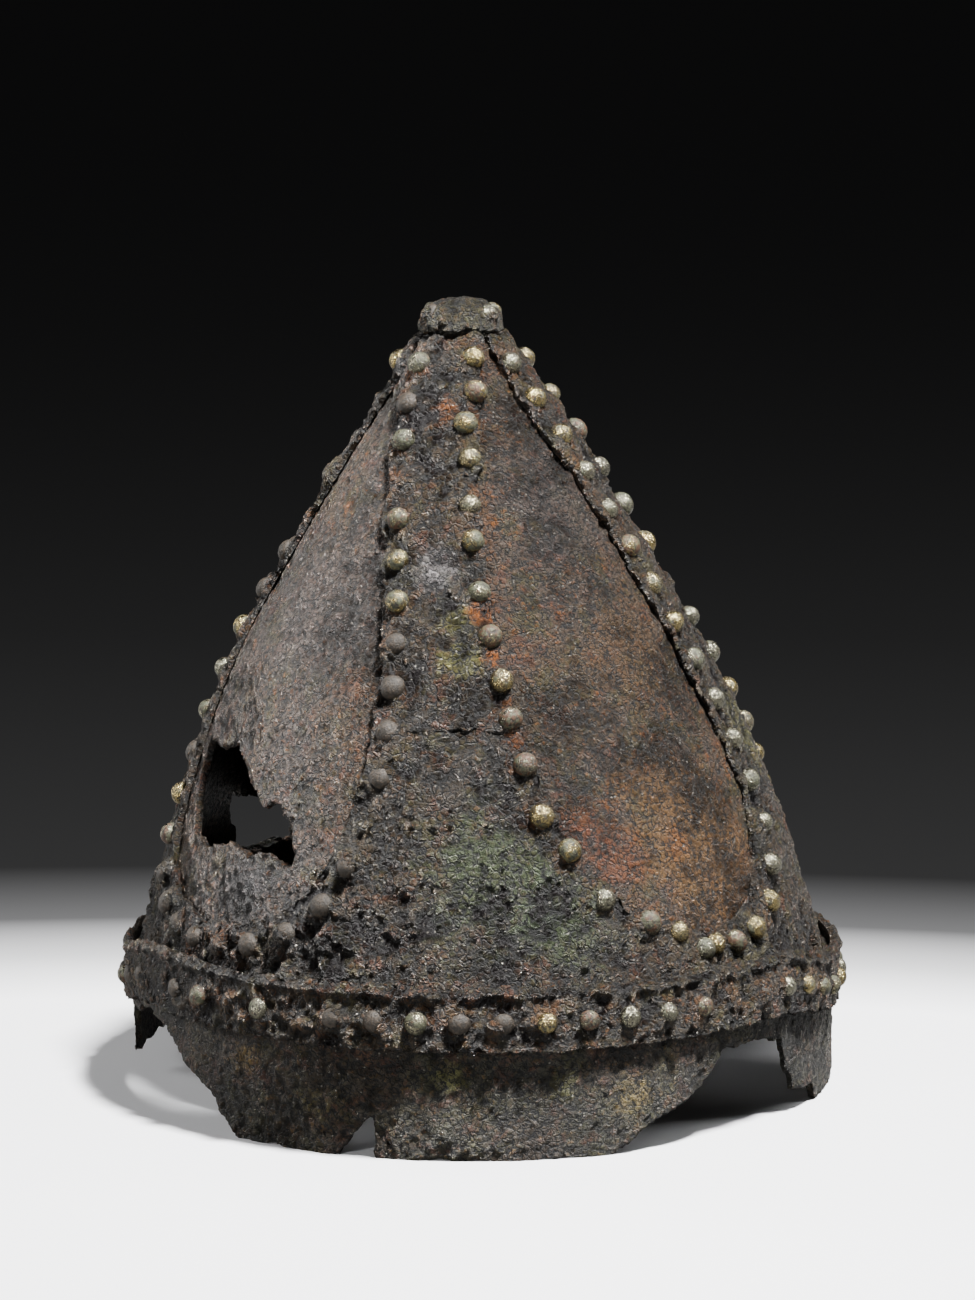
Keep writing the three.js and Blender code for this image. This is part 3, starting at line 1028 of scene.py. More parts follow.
@dataclass
class RivetHeads:
    """Rivet heads, modelled once and copied to every place."""

    sides: int = 12
    rings: int = 8
    cut: float = -0.32
    cap_slope: float = 0.45
    sunk: float = 0.8
    cap_middle: Vector = field(default_factory=lambda: RivetHeads.middle_of_cap())

    @staticmethod
    def middle_of_cap() -> Vector:
        """Middle of the CAD cap."""
        places = vertices_of(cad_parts["cap"])
        return Vector((places.min(axis=0) + places.max(axis=0)) / 2)

    def head(self) -> bpy.types.Object:
        """Turns one head of radius 1 from a ball that is cut off below its middle.

        Returns:
            The pattern head.
        """
        put_down_all()
        bpy.ops.mesh.primitive_uv_sphere_add(segments=self.sides, ring_count=self.rings, radius=1)
        ball = bpy.context.object
        ball.name = "rivet_head"
        bpy.ops.object.mode_set(mode="EDIT")
        bpy.ops.mesh.select_all(action="SELECT")
        bpy.ops.mesh.bisect(plane_co=(0, 0, self.cut), plane_no=(0, 0, 1), clear_inner=True)
        bpy.ops.object.mode_set(mode="OBJECT")
        bpy.ops.object.shade_smooth()
        return ball

    def set_rows(
        self,
        name: str,
        rivets: list[Rivet],
        head: bpy.types.Object,
        bowl: Bowl,
        material: bpy.types.Material,
        slot: str,
    ) -> bpy.types.Object | None:
        """Sets copies of the head at each rivet's place and joins them.

        Args:
            name: The joined piece's name.
            rivets: The rivets to set.
            head: The pattern head.
            bowl: The surface that they stand on.
            material: Their finish.
            slot: A material slot's name, which is passed on.

        Returns:
            The joined piece, or nothing where no rivet has a head.
        """
        luck = random.Random(name)
        copies = []
        for rivet in rivets:
            if rivet.wear is Wear.LOST:
                continue
            mesh = head.data.copy()
            if rivet.sheet == "cap":
                turn = math.radians(rivet.angle)
                outward = Vector((math.sin(turn), -math.cos(turn), self.cap_slope)).normalized()
                place = self.cap_middle + Vector((outward.x, outward.y, 0)) * rivet.base
            else:
                place, outward = bowl.skin(rivet.angle, rivet.height, rivet.base)
            spin = Matrix.Rotation(luck.uniform(0, math.tau), 4, "Z")
            tilt = Vector((luck.gauss(0, 0.05), luck.gauss(0, 0.05), luck.gauss(0, 0.05)))
            stand = Vector((0, 0, 1)).rotation_difference((outward + tilt).normalized())
            stretch = Matrix.Diagonal((luck.uniform(0.92, 1.04), luck.uniform(0.92, 1.04), 1, 1))
            proud = rivet.proud * (self.sunk if rivet.wear is Wear.CRUSTED else 1.0)
            size = Matrix.Diagonal((rivet.radius, rivet.radius, proud, 1))
            mesh.transform(
                Matrix.Translation(place) @ stand.to_matrix().to_4x4() @ spin @ stretch @ size
            )
            copy = bpy.data.objects.new(f"{name}_copy", mesh)
            bpy.context.scene.collection.objects.link(copy)
            for key, value in (("tone", luck.random()), ("wear", rivet.wear.value / 2)):
                paint_attribute(copy, key, np.full(len(mesh.vertices), value))
            copies.append(copy)
        if not copies:
            return None
        pick(*copies)
        bpy.ops.object.join()
        piece = bpy.context.object
        piece.name = name
        Layer(Noise.SOFT, 2.2 * MM, 0.22 * MM, 1).press(piece)
        set_vertices(piece, inside_box(vertices_of(piece)))
        finish_piece(piece, material, slot)
        return piece


# Shader groups


class Bench:
    """Adds and links the nodes of one tree."""

    def __init__(self, tree: bpy.types.NodeTree) -> None:
        """Starts on a tree.

        Args:
            tree: The material's or group's node tree.
        """
        self.tree = tree
        self.count = 0

    def add(self, kind: str, settings: dict | None = None, **inputs: object) -> bpy.types.Node:
        """Adds one node.

        Args:
            kind: The node's type.
            settings: The node's own settings.
            inputs: Values or sockets for its inputs. An underscore stands for a space.

        Returns:
            The new node.
        """
        node = self.tree.nodes.new(kind)
        self.count += 1
        node.location = (190 * (self.count % 12), -240 * (self.count // 12))
        for key, value in (settings or {}).items():
            setattr(node, key, value)
        for key, value in inputs.items():
            self.feed(node.inputs[key.replace("_", " ")], value)
        return node

    def feed(self, socket: bpy.types.NodeSocket, value: object) -> None:
        """Links or sets one input.

        Args:
            socket: The input.
            value: A socket to link, or a value to set.
        """
        if isinstance(value, bpy.types.NodeSocket):
            self.tree.links.new(value, socket)
        elif isinstance(value, tuple) and len(value) == 3 and socket.type == "RGBA":
            socket.default_value = (*value, 1.0)
        else:
            socket.default_value = value

    def group(self, tree: bpy.types.NodeTree, **inputs: object) -> bpy.types.NodeOutputs:
        """Adds a group node.

        Args:
            tree: The shared group.
            inputs: Values or sockets for its inputs.

        Returns:
            Its outputs.
        """
        return self.add("ShaderNodeGroup", {"node_tree": tree}, **inputs).outputs

    def attribute(self, name: str) -> bpy.types.NodeSocket:
        """Reads a number that the mesh stores for each vertex."""
        return self.add("ShaderNodeAttribute", {"attribute_name": name}).outputs["Fac"]

    def sum_up(
        self, operation: str, a: object, b: object = 0.0, clamp: bool = False
    ) -> bpy.types.NodeSocket:
        """Puts two numbers through a Math node.

        Args:
            operation: Blender's name for the sum.
            a: The first number or socket.
            b: The second number or socket.
            clamp: Whether the result is kept from 0 to 1.

        Returns:
            The result's socket.
        """
        node = self.add("ShaderNodeMath", {"operation": operation, "use_clamp": clamp})
        self.feed(node.inputs[0], a)
        self.feed(node.inputs[1], b)
        return node.outputs[0]

    def mix(
        self, share: object, a: object, b: object, blend: str = "MIX"
    ) -> bpy.types.NodeSocket:
        """Mixes two colours.

        Args:
            share: How much of the second colour.
            a: The first colour.
            b: The second colour.
            blend: Blender's name for the way of mixing.

        Returns:
            The colour's socket.
        """
        node = self.add("ShaderNodeMix", {"data_type": "RGBA", "blend_type": blend})
        self.feed(node.inputs[0], share)
        self.feed(node.inputs[6], a)
        self.feed(node.inputs[7], b)
        return node.outputs[2]

    def spread(
        self, value: object, low: float, high: float, start: float = 0.0, end: float = 1.0
    ) -> bpy.types.NodeSocket:
        """Eases a number from one range to another.

        Args:
            value: The number's socket.
            low: Where the rise starts.
            high: Where the rise ends.
            start: The result at low.
            end: The result at high.

        Returns:
            The result's socket.
        """
        node = self.add("ShaderNodeMapRange", {"interpolation_type": "SMOOTHSTEP"})
        for key, number in zip(
            ("Value", "From Min", "From Max", "To Min", "To Max"), (value, low, high, start, end)
        ):
            self.feed(node.inputs[key], number)
        return node.outputs[0]

    def noise(
        self, where: object, size: float, detail: float = 3.0, rough: float = 0.55
    ) -> bpy.types.NodeSocket:
        """Adds noise with features of one size.

        Args:
            where: The coordinates' socket.
            size: The features' size in metres.
            detail: Number of finer layers.
            rough: Strength of the finer layers.

        Returns:
            The factor's socket.
        """
        node = self.add(
            "ShaderNodeTexNoise", Vector=where, Scale=1 / size, Detail=detail, Roughness=rough
        )
        return node.outputs["Fac"]


def new_group(
    name: str, inputs: dict[str, tuple], outputs: dict[str, str]
) -> tuple[bpy.types.NodeTree, Bench, bpy.types.Node, bpy.types.Node]:
    """Starts a shader node group.

    Args:
        name: The group's name.
        inputs: Socket type and default value of each input.
        outputs: Socket type of each output.

    Returns:
        The group, a bench on it, its input node and its output node.
    """
    group = bpy.data.node_groups.new(name, "ShaderNodeTree")
    for label, (kind, value) in inputs.items():
        socket = group.interface.new_socket(label, in_out="INPUT", socket_type=kind)
        if value is not None:
            socket.default_value = value
    for label, kind in outputs.items():
        group.interface.new_socket(label, in_out="OUTPUT", socket_type=kind)
    bench = Bench(group)
    return group, bench, bench.add("NodeGroupInput"), bench.add("NodeGroupOutput")


def new_material(
    name: str,
) -> tuple[bpy.types.Material, Bench, bpy.types.Node, bpy.types.NodeSocket]:
    """Starts a material.

    Args:
        name: The material's name.

    Returns:
        The material, a bench on its tree, its shader, and its object coordinates.
    """
    material = bpy.data.materials.new(name)
    material.use_nodes = True
    bench = Bench(material.node_tree)
    shader = material.node_tree.nodes["Principled BSDF"]
    return material, bench, shader, bench.add("ShaderNodeTexCoord").outputs["Object"]


FLOAT, VECTOR = "NodeSocketFloat", "NodeSocketVector"
ELSEWHERE = (0.3, 0.1, 0.7)


@dataclass
class Effects:
    """Shader groups that several finishes share."""

    grain: bpy.types.NodeTree = field(init=False)
    patch: bpy.types.NodeTree = field(init=False)
    glint: bpy.types.NodeTree = field(init=False)

    def __post_init__(self) -> None:
        """Builds the groups once."""
        self.grain = self.build_grain()
        self.patch = self.build_patch()
        self.glint = self.build_glint()

    @staticmethod
    def build_grain() -> bpy.types.NodeTree:
        """Builds fine corrosion: a tone that darkens cracks and pits, and a height for the bump. The
        iron finishes also use the tone as painted shade in the cracks and painted light on the
        grains.

        Returns:
            The group.
        """
        group, bench, given, out = new_group(
            "iron_grain",
            {"Vector": (VECTOR, None), "Size": (FLOAT, 0.001), "Pits": (FLOAT, 0.5)},
            {"Tone": FLOAT, "Height": FLOAT},
        )
        scale = bench.sum_up("DIVIDE", 1.0, given.outputs["Size"])
        where = given.outputs["Vector"]
        broad = bench.add(
            "ShaderNodeTexNoise",
            Vector=where,
            Scale=bench.sum_up("MULTIPLY", scale, 0.3),
            Detail=3.0,
            Roughness=0.6,
        ).outputs["Fac"]
        fine = bench.add(
            "ShaderNodeTexNoise", Vector=where, Scale=scale, Detail=6.0, Roughness=0.72
        ).outputs["Fac"]
        shove = bench.add("ShaderNodeTexNoise", Vector=where, Scale=scale, Detail=3.0)
        bent = bench.add("ShaderNodeVectorMath", {"operation": "MULTIPLY_ADD"})
        bench.feed(bent.inputs[0], shove.outputs["Color"])
        bench.feed(bent.inputs[1], (2.2 * MM, 2.2 * MM, 2.2 * MM))
        bench.feed(bent.inputs[2], where)
        flakes = bench.add(
            "ShaderNodeTexVoronoi",
            {"feature": "DISTANCE_TO_EDGE"},
            Vector=bent.outputs["Vector"],
            Scale=bench.sum_up("MULTIPLY", scale, 0.9),
        ).outputs["Distance"]
        lone = bench.add(
            "ShaderNodeTexVoronoi",
            {"feature": "F1"},
            Vector=bent.outputs["Vector"],
            Scale=bench.sum_up("MULTIPLY", scale, 0.9),
        )
        chance = bench.add("ShaderNodeSeparateColor", Color=lone.outputs["Color"]).outputs[0]
        edges = bench.spread(flakes, 0.01, 0.17, 1.0, 0.0)
        cracks = bench.sum_up("MULTIPLY", edges, bench.spread(broad, 0.36, 0.56, 0.35, 1.0))
        pits = bench.sum_up("MULTIPLY", bench.spread(fine, 0.42, 0.32), given.outputs["Pits"])
        mixed = bench.sum_up(
            "ADD", bench.sum_up("MULTIPLY", broad, 0.25), bench.sum_up("MULTIPLY", fine, 0.65)
        )
        mixed = bench.sum_up("ADD", mixed, bench.sum_up("MULTIPLY", chance, 0.1))
        cut = bench.sum_up(
            "ADD", bench.sum_up("MULTIPLY", pits, 0.2), bench.sum_up("MULTIPLY", cracks, 0.16)
        )
        height = bench.sum_up("SUBTRACT", mixed, cut)
        bench.feed(out.inputs["Tone"], bench.spread(height, 0.27, 0.6))
        bench.feed(out.inputs["Height"], height)
        return group

    @staticmethod
    def build_patch() -> bpy.types.NodeTree:
        """Builds a patch with a ragged edge around a centre, as a mask.

        Returns:
            The group.
        """
        group, bench, given, out = new_group(
            "stain_patch",
            {
                "Vector": (VECTOR, None),
                "Centre": (VECTOR, None),
                "Radius": (FLOAT, 0.02),
                "Ragged": (FLOAT, 0.6),
            },
            {"Mask": FLOAT},
        )
        away = bench.add("ShaderNodeVectorMath", {"operation": "DISTANCE"})
        bench.feed(away.inputs[0], given.outputs["Vector"])
        bench.feed(away.inputs[1], given.outputs["Centre"])
        share = bench.sum_up("DIVIDE", away.outputs["Value"], given.outputs["Radius"])
        coarse = bench.noise(given.outputs["Vector"], 9 * MM, 5.0, 0.7)
        close = bench.noise(given.outputs["Vector"], 2.2 * MM, 4.0, 0.75)
        coarse = bench.sum_up("MULTIPLY", coarse, 0.6)
        both = bench.sum_up("ADD", coarse, bench.sum_up("MULTIPLY", close, 0.5))
        shift = bench.sum_up(
            "MULTIPLY", bench.sum_up("SUBTRACT", both, 0.55), given.outputs["Ragged"]
        )
        edge = bench.sum_up("ADD", share, bench.sum_up("MULTIPLY", shift, 6.0))
        bench.feed(out.inputs["Mask"], bench.spread(edge, 0.35, 0.95, 1.0, 0.0))
        return group

    @staticmethod
    def build_glint() -> bpy.types.NodeTree:
        """Builds scattered specks, as a mask.

        Returns:
            The group.
        """
        group, bench, given, out = new_group(
            "bare_specks",
            {"Vector": (VECTOR, None), "Size": (FLOAT, 0.001), "Share": (FLOAT, 0.1)},
            {"Mask": FLOAT},
        )
        scale = bench.sum_up("DIVIDE", 1.0, given.outputs["Size"])
        cells = bench.add(
            "ShaderNodeTexVoronoi", {"feature": "F1"}, Vector=given.outputs["Vector"], Scale=scale
        )
        chance = bench.add("ShaderNodeSeparateColor", Color=cells.outputs["Color"]).outputs[0]
        chosen = bench.sum_up("LESS_THAN", chance, given.outputs["Share"])
        middle = bench.spread(cells.outputs["Distance"], 0.1, 0.42, 1.0, 0.0)
        bench.feed(out.inputs["Mask"], bench.sum_up("MULTIPLY", chosen, middle))
        return group


# Finishes


@dataclass(frozen=True)
class Stain:
    """A coloured area of a finish, placed by angle and height on the bowl."""

    angle: float
    height: float
    radius: float
    colour: Colour
    strength: float = 0.8
    ragged: float = 0.5


@dataclass(frozen=True)
class IronFinish:
    """Corroded iron with mottled oxides, pits, stains and specks of bare metal, with painted shade
    in its cracks and hollows and painted glints on its bare specks.
    """

    name: str
    ground: Colour
    second: Colour
    rust: Colour
    rust_share: float
    # Colour of the dark pit specks, and of the painted shade in the deepest hollows.
    dark: Colour
    grain: float
    roughness: tuple[float, float]
    metal: float
    specks: float
    rivet_stain: Colour
    bump: float = 1.0
    streaks: float = 0.0
    rivet_rust: Colour = (0.068, 0.033, 0.016)
    rivet_halo: float = 0.7
    streak_colour: Colour = (0.08, 0.057, 0.04)
    # Pale colour of the bare specks, partly painted glints.
    bare_metal_glint: Colour = (0.4, 0.37, 0.32)
    mottle: float = 0.6
    red_tinge: Colour = (0.05, 0.022, 0.016)
    olive_tinge: Colour = (0.031, 0.03, 0.014)
    stains: tuple[Stain, ...] = ()

    def build(self, effects: Effects, bowl: Bowl) -> bpy.types.Material:
        """Builds the material.

        Args:
            effects: The shared shader groups.
            bowl: The surface on which the stains are placed.

        Returns:
            The finished material.
        """
        material, bench, shader, where = new_material(self.name)
        relief = bench.attribute("relief")
        near = bench.attribute("stain")

        grain = bench.group(effects.grain, Vector=where, Size=self.grain, Pits=0.6)
        wide = bench.noise(where, 34 * MM, 4.0, 0.6)
        colour = bench.mix(bench.spread(wide, 0.38, 0.62), self.ground, self.second)
        drawn = bench.add("ShaderNodeMapping", Vector=where, Scale=(1.0, 1.0, 0.09)).outputs[0]
        streak = bench.spread(bench.noise(drawn, 3 * MM, 3.0, 0.6), 0.35, 0.7)
        colour = bench.mix(
            bench.sum_up("MULTIPLY", streak, self.streaks), colour, self.streak_colour
        )
        reddish = bench.spread(bench.noise(where, 6 * MM, 4.0, 0.7), 0.5, 0.64, 0.0, self.mottle)
        colour = bench.mix(reddish, colour, self.red_tinge)
        moved = bench.add("ShaderNodeMapping", Vector=where, Location=ELSEWHERE).outputs[0]
        olive = bench.spread(bench.noise(moved, 9 * MM, 4.0, 0.7), 0.5, 0.62, 0.0, self.mottle)
        colour = bench.mix(olive, colour, self.olive_tinge)
        spots = bench.noise(where, 12 * MM, 6.0, 0.72)
        rusted = bench.spread(spots, 0.62 - self.rust_share, 0.74 - self.rust_share * 0.7)
        colour = bench.mix(rusted, colour, self.rust)
        fleck = bench.noise(where, 2.0 * MM, 4.0, 0.7)
        colour = bench.mix(bench.spread(fleck, 0.56, 0.66, 0.0, 0.7), colour, self.rust)
        for stain in self.stains:
            centre = bowl.skin(stain.angle, stain.height, 1 * MM)[0]
            mask = bench.group(
                effects.patch,
                Vector=where,
                Centre=tuple(centre),
                Radius=stain.radius,
                Ragged=stain.ragged,
            )["Mask"]
            share = bench.sum_up("MULTIPLY", mask, stain.strength)
            colour = bench.mix(share, colour, stain.colour)
        halo = bench.sum_up("MULTIPLY", near, bench.spread(spots, 0.42, 0.6), True)
        crust = bench.mix(bench.spread(wide, 0.42, 0.56), self.rivet_stain, self.rivet_rust)
        colour = bench.mix(bench.sum_up("MULTIPLY", halo, self.rivet_halo), colour, crust)

        # Partly painted light and shade: the grain's tone multiplies the colour from near black in
        # cracks and pits to three times as bright on the grains. This is the grain's own colour, and
        # also painted shade in the cracks and painted light on the grain tops.
        tone = grain["Tone"]
        shade = bench.spread(tone, 0, 1, 0.03, 3.0)
        # Painted shade: the relief darkens the colour in the hollows of the displaced surface and
        # lightens it a little on the lumps.
        painted_hollow_shade = bench.spread(relief, 0.26, 0.62, 0.22, 1.2)
        depth = bench.sum_up("MULTIPLY", shade, painted_hollow_shade)
        grey = bench.add("ShaderNodeCombineColor", Red=depth, Green=depth, Blue=depth).outputs[0]
        colour = bench.mix(1.0, colour, grey, "MULTIPLY")
        # Painted shade: the deepest hollows take the dark colour.
        colour = bench.mix(bench.spread(relief, 0.3, 0.12), colour, self.dark)
        glint = effects.glint
        bare_glint = bench.group(glint, Vector=where, Size=1.0 * MM, Share=self.specks * 1.7)["Mask"]
        holed = bench.group(glint, Vector=moved, Size=1.3 * MM, Share=0.34)["Mask"]
        colour = bench.mix(bench.sum_up("MULTIPLY", holed, 0.85), colour, self.dark)
        # Partly painted highlight: the bare specks take a pale colour many times the iron's, which
        # stands for bare metal and also for glints of light on it.
        colour = bench.mix(bench.sum_up("MULTIPLY", bare_glint, 0.85), colour, self.bare_metal_glint)

        rough = bench.spread(tone, 0, 1, self.roughness[1], self.roughness[0])
        rough = bench.sum_up("SUBTRACT", rough, bench.sum_up("MULTIPLY", bare_glint, 0.2))
        worn = bench.spread(tone, 0.3, 1, 0.0, self.metal)
        metal = bench.sum_up("ADD", worn, bench.sum_up("MULTIPLY", bare_glint, 0.6), True)
        bump = bench.add(
            "ShaderNodeBump",
            Height=grain["Height"],
            Strength=self.bump,
            Distance=self.grain * 7,
        )
        bench.feed(shader.inputs["Base Color"], colour)
        bench.feed(shader.inputs["Roughness"], rough)
        bench.feed(shader.inputs["Metallic"], metal)
        bench.feed(shader.inputs["Normal"], bump.outputs["Normal"])
        return material


@dataclass(frozen=True)
class RivetFinish:
    """Worn rivet metal: pewter to gilt, with green, brown and orange crust by each rivet's wear."""

    name: str = "rivet_metal"
    pewter: Colour = (0.257, 0.243, 0.176)
    gilt: Colour = (0.365, 0.284, 0.121)
    green: Colour = (0.074, 0.078, 0.046)
    rust: Colour = (0.081, 0.038, 0.019)
    crust: Colour = (0.02, 0.016, 0.011)
    crust_light: Colour = (0.05, 0.036, 0.024)

    def build(self, effects: Effects) -> bpy.types.Material:
        """Builds the material.

        Args:
            effects: The shared shader groups.

        Returns:
            The finished material.
        """
        material, bench, shader, where = new_material(self.name)
        tone = bench.attribute("tone")
        wear = bench.attribute("wear")
        grain = bench.group(effects.grain, Vector=where, Size=1.1 * MM, Pits=0.3)
        metal_colour = bench.mix(bench.spread(tone, 0.35, 0.9), self.pewter, self.gilt)
        blotch = bench.noise(where, 2.4 * MM, 4.0, 0.65)
        greened = bench.spread(
            bench.sum_up("ADD", blotch, bench.spread(wear, 0, 0.5, 0.0, 0.1)), 0.5, 0.66
        )
        colour = bench.mix(greened, metal_colour, self.green)
        other = bench.noise(where, 1.7 * MM, 4.0, 0.7)
        rusted = bench.spread(
            bench.sum_up("ADD", other, bench.spread(wear, 0.4, 1.0, 0.0, 0.13)), 0.58, 0.7
        )
        colour = bench.mix(rusted, colour, self.rust)
        buried = bench.spread(wear, 1.05, 1.45, 0.0, 1.0)
        crusted = bench.sum_up("MAXIMUM", bench.spread(grain["Tone"], 0.42, 0.2), buried)
        rubbed = bench.spread(grain["Tone"], 0.35, 0.9)
        colour = bench.mix(crusted, colour, bench.mix(rubbed, self.crust, self.crust_light))
        covered = bench.sum_up("MAXIMUM", rusted, crusted)
        covered = bench.sum_up("MAXIMUM", bench.sum_up("MULTIPLY", greened, 0.75), covered)
        bench.feed(shader.inputs["Base Color"], colour)
        bench.feed(shader.inputs["Metallic"], bench.spread(covered, 0, 1, 1.0, 0.15))
        bench.feed(shader.inputs["Roughness"], bench.spread(covered, 0, 1, 0.18, 0.52))
        bump = bench.add(
            "ShaderNodeBump", Height=grain["Height"], Strength=0.6, Distance=0.9 * MM
        )
        bench.feed(shader.inputs["Normal"], bump.outputs["Normal"])
        return material


GREEN = (0.032, 0.043, 0.023)
OLIVE = (0.074, 0.073, 0.027)
ORANGE = (0.162, 0.054, 0.015)
RED_RUST = (0.081, 0.026, 0.012)
TAN = (0.084, 0.046, 0.019)
LILAC = (0.054, 0.043, 0.038)
# Pale colour of a painted highlight.
PAINTED_SHEEN = (0.223, 0.208, 0.216)

PLATE_FINISH = IronFinish(
    name="plate_iron",
    ground=(0.041, 0.028, 0.018),
    second=(0.035, 0.028, 0.024),
    rust=(0.105, 0.042, 0.014),
    rust_share=0.02,
    dark=(0.014, 0.011, 0.009),
    grain=1.5 * MM,
    roughness=(0.3, 0.55),
    metal=0.45,
    specks=0.07,
    streaks=0.25,
    rivet_stain=(0.045, 0.038, 0.027),
    stains=(
        Stain(50, 78 * MM, 34 * MM, TAN, 0.8),
        Stain(60, 62 * MM, 18 * MM, (0.068, 0.035, 0.014), 0.6),
        Stain(26, 84 * MM, 11 * MM, RED_RUST, 0.6),
        Stain(33, 76 * MM, 11 * MM, RED_RUST, 0.55),
        Stain(52, 128 * MM, 22 * MM, (0.058, 0.035, 0.019), 0.6),
        Stain(46, 78 * MM, 6 * MM, ORANGE, 0.35),
        Stain(48, 165 * MM, 26 * MM, (0.039, 0.032, 0.030), 0.6),
        Stain(-37, 142 * MM, 34 * MM, LILAC, 0.7),
        Stain(-42, 64 * MM, 15 * MM, (0.034, 0.031, 0.031), 0.8),
        Stain(-24, 120 * MM, 8 * MM, (0.068, 0.031, 0.016), 0.6),
    ),
)

BAND_FINISH = IronFinish(
    name="band_iron",
    ground=(0.026, 0.019, 0.0125),
    second=(0.028, 0.024, 0.020),
    rust=(0.059, 0.031, 0.015),
    rust_share=0.0,
    dark=(0.008, 0.005, 0.005),
    grain=1.8 * MM,
    roughness=(0.3, 0.65),
    metal=0.45,
    specks=0.09,
    rivet_stain=(0.038, 0.035, 0.023),
    stains=(
        Stain(8, 72 * MM, 24 * MM, GREEN, 0.7),
        Stain(20, 60 * MM, 18 * MM, GREEN, 0.65),
        Stain(4, 127 * MM, 8 * MM, OLIVE, 0.7),
        Stain(2, 137 * MM, 7 * MM, OLIVE, 0.6),
        # Painted highlight: a pale patch where the front strip shines.
        Stain(-4, 150 * MM, 9 * MM, PAINTED_SHEEN, 0.3, 0.3),
        Stain(9.5, 139 * MM, 5 * MM, ORANGE, 0.85),
        Stain(12, 128 * MM, 5 * MM, ORANGE, 0.85),
        Stain(14, 117 * MM, 4 * MM, ORANGE, 0.7),
        Stain(15, 107 * MM, 4 * MM, ORANGE, 0.7),
        Stain(-8, 190 * MM, 5 * MM, ORANGE, 0.6),
        Stain(58, 46 * MM, 14 * MM, (0.068, 0.061, 0.034), 0.7),
        Stain(86, 100 * MM, 16 * MM, OLIVE, 0.5),
        Stain(180, 80 * MM, 22 * MM, GREEN, 0.6),
        Stain(-100, 70 * MM, 18 * MM, (0.077, 0.042, 0.024), 0.6),
    ),
)

BROW_FINISH = IronFinish(
    name="brow_iron",
    ground=(0.026, 0.020, 0.013),
    second=(0.030, 0.024, 0.018),
    rust=(0.076, 0.034, 0.015),
    rust_share=0.03,
    dark=(0.008, 0.005, 0.005),
    grain=1.8 * MM,
    roughness=(0.3, 0.65),
    metal=0.4,
    specks=0.08,
    rivet_stain=(0.068, 0.045, 0.024),
    stains=(
        Stain(22, 36 * MM, 6 * MM, ORANGE, 0.9),
        Stain(36, 36 * MM, 6 * MM, ORANGE, 0.9),
        Stain(41, 36 * MM, 5 * MM, ORANGE, 0.9),
        Stain(75, 32 * MM, 9 * MM, (0.121, 0.063, 0.028), 0.7),
        Stain(66, 36 * MM, 7 * MM, OLIVE, 0.7),
        Stain(-32, 36 * MM, 9 * MM, (0.097, 0.049, 0.024), 0.6),
    ),
)

RIM_FINISH = IronFinish(
    name="rim_iron",
    ground=(0.026, 0.020, 0.015),
    second=(0.027, 0.026, 0.019),
    rust=(0.068, 0.041, 0.016),
    rust_share=0.01,
    dark=(0.009, 0.008, 0.007),
    grain=1.5 * MM,
    roughness=(0.34, 0.62),
    metal=0.35,
    specks=0.05,
    streaks=0.1,
    rivet_stain=(0.035, 0.031, 0.023),
    stains=(
        Stain(1, 23 * MM, 7 * MM, OLIVE, 0.8),
        Stain(18, 20 * MM, 7 * MM, OLIVE, 0.75),
        Stain(29, 15 * MM, 8 * MM, (0.101, 0.074, 0.027), 0.7),
        Stain(-21, 14 * MM, 7 * MM, (0.095, 0.081, 0.030), 0.7),
        Stain(4, 7 * MM, 5 * MM, OLIVE, 0.5),
        Stain(-34, 23 * MM, 7 * MM, (0.101, 0.068, 0.024), 0.8),
        Stain(84, 18 * MM, 14 * MM, (0.049, 0.046, 0.034), 0.7),
    ),
)

CAP_FINISH = IronFinish(
    name="cap_metal",
    ground=(0.022, 0.016, 0.011),
    second=(0.020, 0.022, 0.012),
    rust=(0.072, 0.038, 0.018),
    rust_share=0.02,
    dark=(0.015, 0.014, 0.009),
    grain=1.5 * MM,
    roughness=(0.4, 0.65),
    metal=0.4,
    specks=0.04,
    rivet_stain=GREEN,
)


# Sub-assemblies


@dataclass
class Shell:
    """The four plates, which the bands cover along their joints."""

    nodes: tuple[str, ...] = (
        "plate_front_right",
        "plate_back_right",
        "plate_back_left",
        "plate_front_left",
    )
    thickness: float = 2 * MM
    voxel: float = 0.85 * MM
    layers: tuple[Layer, ...] = (
        Layer(Noise.SOFT, 26 * MM, 1.6 * MM, 2),
        Layer(Noise.SOFT, 6 * MM, 1.0 * MM, 3),
        Layer(Noise.SHARP, 2.0 * MM, 1.7 * MM, 2),
    )

    def build(self, shop: "Workshop") -> None:
        """Makes the four plates.

        Args:
            shop: What the sub-assemblies share.
        """
        material = PLATE_FINISH.build(shop.effects, shop.bowl)
        for node in self.nodes:
            sheet = Sheet(node, "plate_iron", -self.thickness, 0.0, self.voxel, self.layers)
            shop.make(sheet, material)


